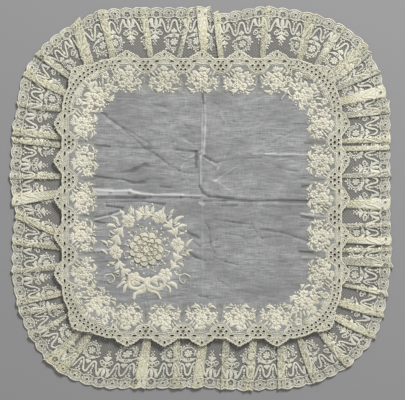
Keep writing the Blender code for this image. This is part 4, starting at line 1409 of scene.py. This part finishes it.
class LawnSettings(PropertyGroup):
    cells: IntProperty(name="Cells", description="Number of faces along each side of the lawn", default=310, min=40)
    dark: FloatVectorProperty(name="Dark thread", description="Grey of the thinner threads", subtype="COLOR", default=(0.2, 0.205, 0.205))
    light: FloatVectorProperty(name="Light thread", description="Grey of the thicker threads", subtype="COLOR", default=(0.52, 0.525, 0.52))
    # Painted shade: the grey painted in cloudy patches of the field, as the shade of soft wrinkles.
    shade: FloatVectorProperty(name="Shaded cloth", description="Grey of the cloudy patches", subtype="COLOR", default=(0.24, 0.245, 0.24))
    # Painted highlight: the pale grey painted along the lawn's ridges, where the light catches them.
    ridge: FloatVectorProperty(name="Highlighted ridge", description="Pale grey of the cloth along its folded ridges", subtype="COLOR", default=(0.66, 0.66, 0.64))
    # Painted shade: the dark grey painted in the lawn's creases.
    crease: FloatVectorProperty(name="Crease", description="Dark grey of the cloth along its troughs", subtype="COLOR", default=(0.1, 0.105, 0.1))
    stain: FloatVectorProperty(name="Stain", description="Brown of the faint stain", subtype="COLOR", default=(0.42, 0.33, 0.22))
    rim: FloatVectorProperty(name="Eyelet rim", description="Shadowed cloth at the rims of the eyelets", subtype="COLOR", default=(0.07, 0.068, 0.05))
    # Partly painted shade: this darker cream also paints the shade between the stitched edge's threads and near the
    # sprays.
    stitch_dark: FloatVectorProperty(name="Dark stitching", description="Darker cream of the stitched edge", subtype="COLOR", default=(0.33, 0.32, 0.25))
    stitch_light: FloatVectorProperty(name="Light stitching", description="Lighter cream of the stitched edge", subtype="COLOR", default=(0.72, 0.7, 0.58))


class StitchSettings(PropertyGroup):
    dark: FloatVectorProperty(name="Dark thread", description="Darker cream of the embroidery", subtype="COLOR", default=(0.58, 0.56, 0.44))
    light: FloatVectorProperty(name="Light thread", description="Lighter cream of the embroidery", subtype="COLOR", default=(0.97, 0.955, 0.88))
    yellow: FloatVectorProperty(name="Aged thread", description="Yellowed cream of the embroidery", subtype="COLOR", default=(0.78, 0.72, 0.5))


class StageSettings(PropertyGroup):
    floor: FloatVectorProperty(name="Floor", description="Colour of the floor", subtype="COLOR", default=(0.28, 0.28, 0.285))
    key: FloatProperty(name="Key light", description="Power of the main light, in watts", default=118.0, min=0)
    fill: FloatProperty(name="Fill light", description="Strength of the even light from all round", default=0.4, min=0)


class HANDKERCHIEF_OT_lace_ground(Operator):
    """Makes the net ground of the frill, folded in its pleats"""

    bl_idname = "handkerchief.lace_ground"
    bl_label = "Lace ground"

    def execute(self, context):
        lace = context.scene.handkerchief_lace
        frill = Frill()
        columns = round(frill.whole / lace.step)
        u = np.unique(np.concatenate([START + np.arange(columns) * frill.whole / columns, frill.along[:-1]]))
        u = u[np.concatenate([[True], np.diff(u) > 0.25])]
        reach = np.interp(u, frill.along, frill.knots[:, 3])
        edge = -SCALLOP_DEPTH * (1 - np.abs(np.cos(math.pi * u / SCALLOP)))
        share = np.linspace(0, 1, lace.rows + 1)[None, :]
        v = edge[:, None] * (1 - share) - (reach - HEADING)[:, None] * share
        points = frill.lie(np.broadcast_to(u[:, None], v.shape), v)
        n, m = v.shape
        index = np.arange(n * m).reshape(n, m)
        there = np.roll(index, -1, axis=0)
        quads = np.stack([index[:, 1:], there[:, 1:], there[:, :-1], index[:, :-1]], axis=-1).reshape(-1, 4)
        corner_u = np.broadcast_to(u[:, None], v.shape)
        ahead = corner_u.ravel()[quads]
        ahead = np.where(ahead < ahead.max(axis=1, keepdims=True) - frill.whole / 2, ahead + frill.whole, ahead)
        inward = v.ravel()[quads]
        strip = np.stack([frill.design(ahead, inward, ahead.mean(axis=1, keepdims=True)), inward], axis=-1)
        shares = {
            name: np.broadcast_to(values[:, None], v.shape).ravel()
            for name, values in (("tone", frill.tone(u)), ("layer", frill.layer(u)))
        }
        points = points.reshape(-1, 3)
        kept = has_size(points, quads)
        piece = grid_mesh("lace_ground", points * MM, quads[kept], {"strip": strip[kept].reshape(-1, 2)}, shares)
        finished(piece, net_material(lace))
        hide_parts("lace_frill")
        return {"FINISHED"}


class HANDKERCHIEF_OT_lace_threads(Operator):
    """Makes the raised cords, tulips, roses and leaves of the lace"""

    bl_idname = "handkerchief.lace_threads"
    bl_label = "Lace threads"

    def execute(self, context):
        lace = context.scene.handkerchief_lace
        frill = Frill()
        material = thread_material("lace_threads", lace.dark, lace.motif, lace.yellow, 0.5, True)
        parts = 2
        for part in range(parts):
            repeats = np.arange(part, frill.repeats, parts)
            stitches = Stitches(frill, [(k * REPEAT, 0, 0, 1) for k in repeats], 0.3, frill.tone)
            lace_design(stitches)
            piece = stitches.mesh(f"lace_threads_{part + 1}")
            finished(piece, material)
        return {"FINISHED"}


class HANDKERCHIEF_OT_lawn(Operator):
    """Makes the lawn, with its creases, its scalloped edge and its eyelets"""

    bl_idname = "handkerchief.lawn"
    bl_label = "Lawn"

    def execute(self, context):
        lawn = context.scene.handkerchief_lawn
        steps = np.linspace(-1, 1, lawn.cells + 1)
        across, up = np.meshgrid(steps, steps)
        ring = np.maximum(np.maximum(np.abs(across), np.abs(up)), 1e-9)
        side_x, side_y = across / ring, up / ring
        share = np.select(
            [side_y >= 1 - 1e-9, side_x >= 1 - 1e-9, side_y <= -1 + 1e-9],
            [side_x, 2 - side_y, 4 - side_x],
            6 + side_y,
        )
        place = STRAIGHT / 2 + share * (STRAIGHT + QUARTER) / 2
        rim = placed(place, lawn_edge(place % ROUND), 0) - SHIFT
        flat = rim[..., :2] * ring[..., None] + SHIFT[:2]
        height = lawn_height(flat[..., 0], flat[..., 1])
        points = np.concatenate([flat, height[..., None]], axis=-1).reshape(-1, 3)
        size = lawn.cells + 1
        index = np.arange(size * size).reshape(size, size)
        quads = np.stack([index[:-1, :-1], index[:-1, 1:], index[1:, 1:], index[1:, :-1]], axis=-1).reshape(-1, 4)
        x, y = (points[quads][..., i] - SHIFT[i] for i in (0, 1))
        middle_x, middle_y = x.mean(axis=1, keepdims=True), y.mean(axis=1, keepdims=True)
        turned = np.select(
            [middle_y >= np.abs(middle_x), middle_x >= np.abs(middle_y), middle_y <= -np.abs(middle_x)],
            [0, 1, 2],
            3,
        ) * (math.pi / 2)
        along = x * np.cos(turned) - y * np.sin(turned)
        outward = x * np.sin(turned) + y * np.cos(turned)
        over = np.abs(along) - STRAIGHT / 2
        bend = np.arctan2(np.maximum(over, 0), np.maximum(outward - STRAIGHT / 2, 1))
        a = np.where(over > 0, np.sign(along) * (STRAIGHT / 2 + CORNER * bend), along)
        b = VALLEY - across_of(x, y)
        border = np.stack([a, b], axis=-1).reshape(-1, 2)
        folds = crease_height(points[:, 0] - SHIFT[0], points[:, 1] - SHIFT[1])
        piece = grid_mesh("lawn_cloth", points * MM, quads, {"border": border}, {"fold": folds})
        finished(piece, lawn_material(lawn))
        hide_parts("lawn_square")
        return {"FINISHED"}


class HANDKERCHIEF_OT_embroidery(Operator):
    """Makes the stitched edge, the sprays of the border and the wreath in the corner"""

    bl_idname = "handkerchief.embroidery"
    bl_label = "Embroidery"

    def execute(self, context):
        thread = context.scene.handkerchief_stitches
        material = thread_material("embroidery", thread.dark, thread.light, thread.yellow, 0.6, False)

        place = np.linspace(0, ROUND, 1300, endpoint=False)
        edge = Stitches(on_lawn, (0, 0, 0, 1), 0.5)
        close = np.linspace(0, ROUND, 2800, endpoint=False)
        outline = placed(close, lawn_edge(close) - 0.6, 0)[:, :2]
        edge.add(outline[::-1], 1.4, 0.6, closed=True)
        depth = np.full(place.shape, CORNER_BAND_DEPTH)
        for middle in SIDE_MIDDLES:
            off = (place - middle + ROUND / 2) % ROUND - ROUND / 2
            near = np.abs((off + PEAK_PITCH / 2) % PEAK_PITCH - PEAK_PITCH / 2)
            depth = np.where(np.abs(off) < 103, band_depth(near), depth)
        for inward, width, rise in ((0, 1.1, 0.5), (1.7, 0.7, 0.35)):
            line = placed(place, VALLEY - depth - inward, 0)[:, :2]
            edge.add(line[::-1], width, rise, closed=True)
        base = placed(place, VALLEY - 0.9 - 0.7 * np.cos(place * 2 * math.pi / 6.0), 0)[:, :2]
        edge.add(base[::-1], 0.95, 0.5, closed=True)
        for row in EYELETS + CORNER_EYELETS + tuple((start, *rest, 0.0) for start, *rest in CORNER_ROWS):
            off, inward, across, out, lean = row
            at_side = row in EYELETS
            middles = SIDE_MIDDLES if at_side else CORNER_MIDDLES
            tips = [(n - (PEAKS_A_SIDE - 1) / 2) * PEAK_PITCH for n in range(PEAKS_A_SIDE)] if at_side else [0.0]
            offs = [off]
            if not at_side and row not in CORNER_EYELETS:
                offs = np.arange(off, CORNER_ROW_REACH, CORNER_ROW_PITCH)
            spots = sorted(
                {
                    (round(middle + tip + sign * one / (1 if at_side else CORNER_SHARE), 3), sign if one else 1)
                    for middle in middles for tip in tips for one in offs for sign in (1, -1)
                }
            )
            for sign in (1, -1):
                chosen = np.array([spot for spot, side in spots if side == sign])
                if not len(chosen):
                    continue
                points, outward = middle_line(chosen)
                points = points + outward * (VALLEY - inward) + SHIFT[:2]
                turns = -np.arctan2(outward[:, 0], outward[:, 1]) - sign * lean
                rings = Stitches(on_lawn, np.column_stack([points, turns, np.ones(len(turns))]))
                rings.ring((0, 0), across + 0.5, 0.75, 0.5, 10, (out + 0.5) / (across + 0.5))
                edge.take(rings)
        tips = np.array([spot for spot, width in peak_places()])
        points, outward = middle_line(tips)
        fans = Stitches(
            on_lawn,
            np.column_stack([points + outward * VALLEY + SHIFT[:2], -np.arctan2(outward[:, 0], outward[:, 1]), np.ones(len(tips))]),
        )
        for x0, y0, x1, y1 in ((0.9, 0.4, 2.6, 5.6), (1.8, -0.2, 8.2, 3.2), (2.6, -1.4, 9.6, 0.4)):
            for sign in (1, -1):
                fans.leaf((x0 * sign, y0), (x1 * sign, y1), 1.2, 0.55, 0.0, 0.5)
        fans.dot((0, -0.4), 1.2, 0.7)
        edge.take(fans)
        corner_tips = fans.placings[-len(CORNER_MIDDLES):]
        rosettes = Stitches(on_lawn, corner_tips)
        rosettes.petals((0, 4.3), 1.9, 3.5, 1.3, 0.5, 9)
        for sign in (1, -1):
            rosettes.petals((9.8 * sign, 0.6), 0.4, 2.2, 1.3, 0.5, 6)
        edge.take(rosettes)
        border = finished(edge.mesh("stitched_edge"), material)

        numbers = np.random.default_rng(3)
        plain, turned, corners = [], [], []
        for middle in SIDE_MIDDLES:
            for n in range(PEAKS_A_SIDE):
                spot = middle + (n - (PEAKS_A_SIDE - 1) / 2) * PEAK_PITCH
                points, outward = middle_line(spot)
                point = points + outward * (SPRAY_DEPTH + numbers.normal(0, 0.5)) + SHIFT[:2]
                turn = -math.atan2(outward[0], outward[1]) + numbers.normal(0, 0.05)
                (turned if n % 2 else plain).append((point[0], point[1], turn, 1.02))
        for middle in CORNER_MIDDLES:
            points, outward = middle_line(middle)
            point = points + outward * CORNER_SPRAY_DEPTH + SHIFT[:2]
            corners.append((point[0], point[1], -math.atan2(outward[0], outward[1]), 1.0))
        sprays = Stitches(on_lawn, plain + [(*spot[:3], 1.1) for spot in corners], 0.7)
        spray_design(sprays)
        others = Stitches(on_lawn, turned, 0.7)
        spray_design(others, -1)
        sprays.take(others)
        extra = Stitches(on_lawn, corners, 0.7)
        corner_spray_design(extra)
        sprays.take(extra)
        border_sprays = finished(sprays.mesh("border_sprays"), material)

        wreath = Stitches(on_lawn, (*WREATH_PLACE, 0, WREATH_SIZE), 0.8)
        wreath_design(wreath)
        corner_wreath = finished(wreath.mesh("corner_wreath"), material)
        return {"FINISHED"}


class HANDKERCHIEF_OT_stage(Operator):
    """Makes the floor, the soft lights and the camera straight above"""

    bl_idname = "handkerchief.stage"
    bl_label = "Stage"

    def execute(self, context):
        stage = context.scene.handkerchief_stage
        wide = 3.0
        corners = np.array([(-wide, -wide, 0), (wide, -wide, 0), (wide, wide, 0), (-wide, wide, 0)])
        floor = grid_mesh("floor", corners, np.array([[0, 1, 2, 3]]))
        recipe = Recipe("floor")
        floor.data.materials.append(recipe.done(Base_Color=four(stage.floor), Roughness=0.9))

        def area_light(name, place, size, power):
            data = bpy.data.lights.new(name, "AREA")
            data.size = size
            data.energy = power
            lamp = bpy.data.objects.new(name, data)
            lamp.location = place
            away = np.array(place) / np.linalg.norm(place)
            lamp.rotation_euler = (math.acos(away[2]), 0, math.atan2(away[1], away[0]) + math.pi / 2)
            context.scene.collection.objects.link(lamp)

        area_light("key", (1.1, 2.4, 1.5), 0.7, stage.key)
        world = bpy.data.worlds.new("soft_room")
        world.use_nodes = True
        world.node_tree.nodes["Background"].inputs["Color"].default_value = (1, 1, 1, 1)
        world.node_tree.nodes["Background"].inputs["Strength"].default_value = stage.fill
        context.scene.world = world
        context.scene.view_settings.view_transform = "Standard"

        frame_width = 405
        scale = 1.1 * MM
        high = 3.0
        view = bpy.data.cameras.new("overhead")
        view.sensor_width = 36
        view.lens = 36 * high / (frame_width * scale)
        view.clip_end = 50
        camera = bpy.data.objects.new("overhead", view)
        camera.location = (1.65 * MM, -1.65 * MM, high)
        context.scene.collection.objects.link(camera)
        context.scene.camera = camera
        return {"FINISHED"}


class HANDKERCHIEF_PT_panel(Panel):
    """Lists the steps that make the handkerchief"""

    bl_label = "Handkerchief"
    bl_idname = "HANDKERCHIEF_PT_panel"
    bl_space_type = "VIEW_3D"
    bl_region_type = "UI"
    bl_category = "Handkerchief"

    def draw(self, context):
        for step in STEPS:
            self.layout.operator(step.bl_idname)
        for group in GROUPS:
            settings = getattr(context.scene, group)
            for name in settings.__annotations__:
                self.layout.prop(settings, name)


STEPS = (
    HANDKERCHIEF_OT_lace_ground,
    HANDKERCHIEF_OT_lace_threads,
    HANDKERCHIEF_OT_lawn,
    HANDKERCHIEF_OT_embroidery,
    HANDKERCHIEF_OT_stage,
)
GROUPS = {
    "handkerchief_lace": LaceSettings,
    "handkerchief_lawn": LawnSettings,
    "handkerchief_stitches": StitchSettings,
    "handkerchief_stage": StageSettings,
}


def register():
    for group in GROUPS.values():
        bpy.utils.register_class(group)
    for name, group in GROUPS.items():
        setattr(bpy.types.Scene, name, PointerProperty(type=group))
    for step in (*STEPS, HANDKERCHIEF_PT_panel):
        bpy.utils.register_class(step)


def unregister():
    for step in (HANDKERCHIEF_PT_panel, *reversed(STEPS)):
        bpy.utils.unregister_class(step)
    for name in GROUPS:
        delattr(bpy.types.Scene, name)
    for group in reversed(GROUPS.values()):
        bpy.utils.unregister_class(group)


def main():
    register()
    bpy.ops.handkerchief.lace_ground()
    bpy.ops.handkerchief.lace_threads()
    bpy.ops.handkerchief.lawn()
    bpy.ops.handkerchief.embroidery()
    bpy.ops.handkerchief.stage()


if __name__ == "__main__":
    main()
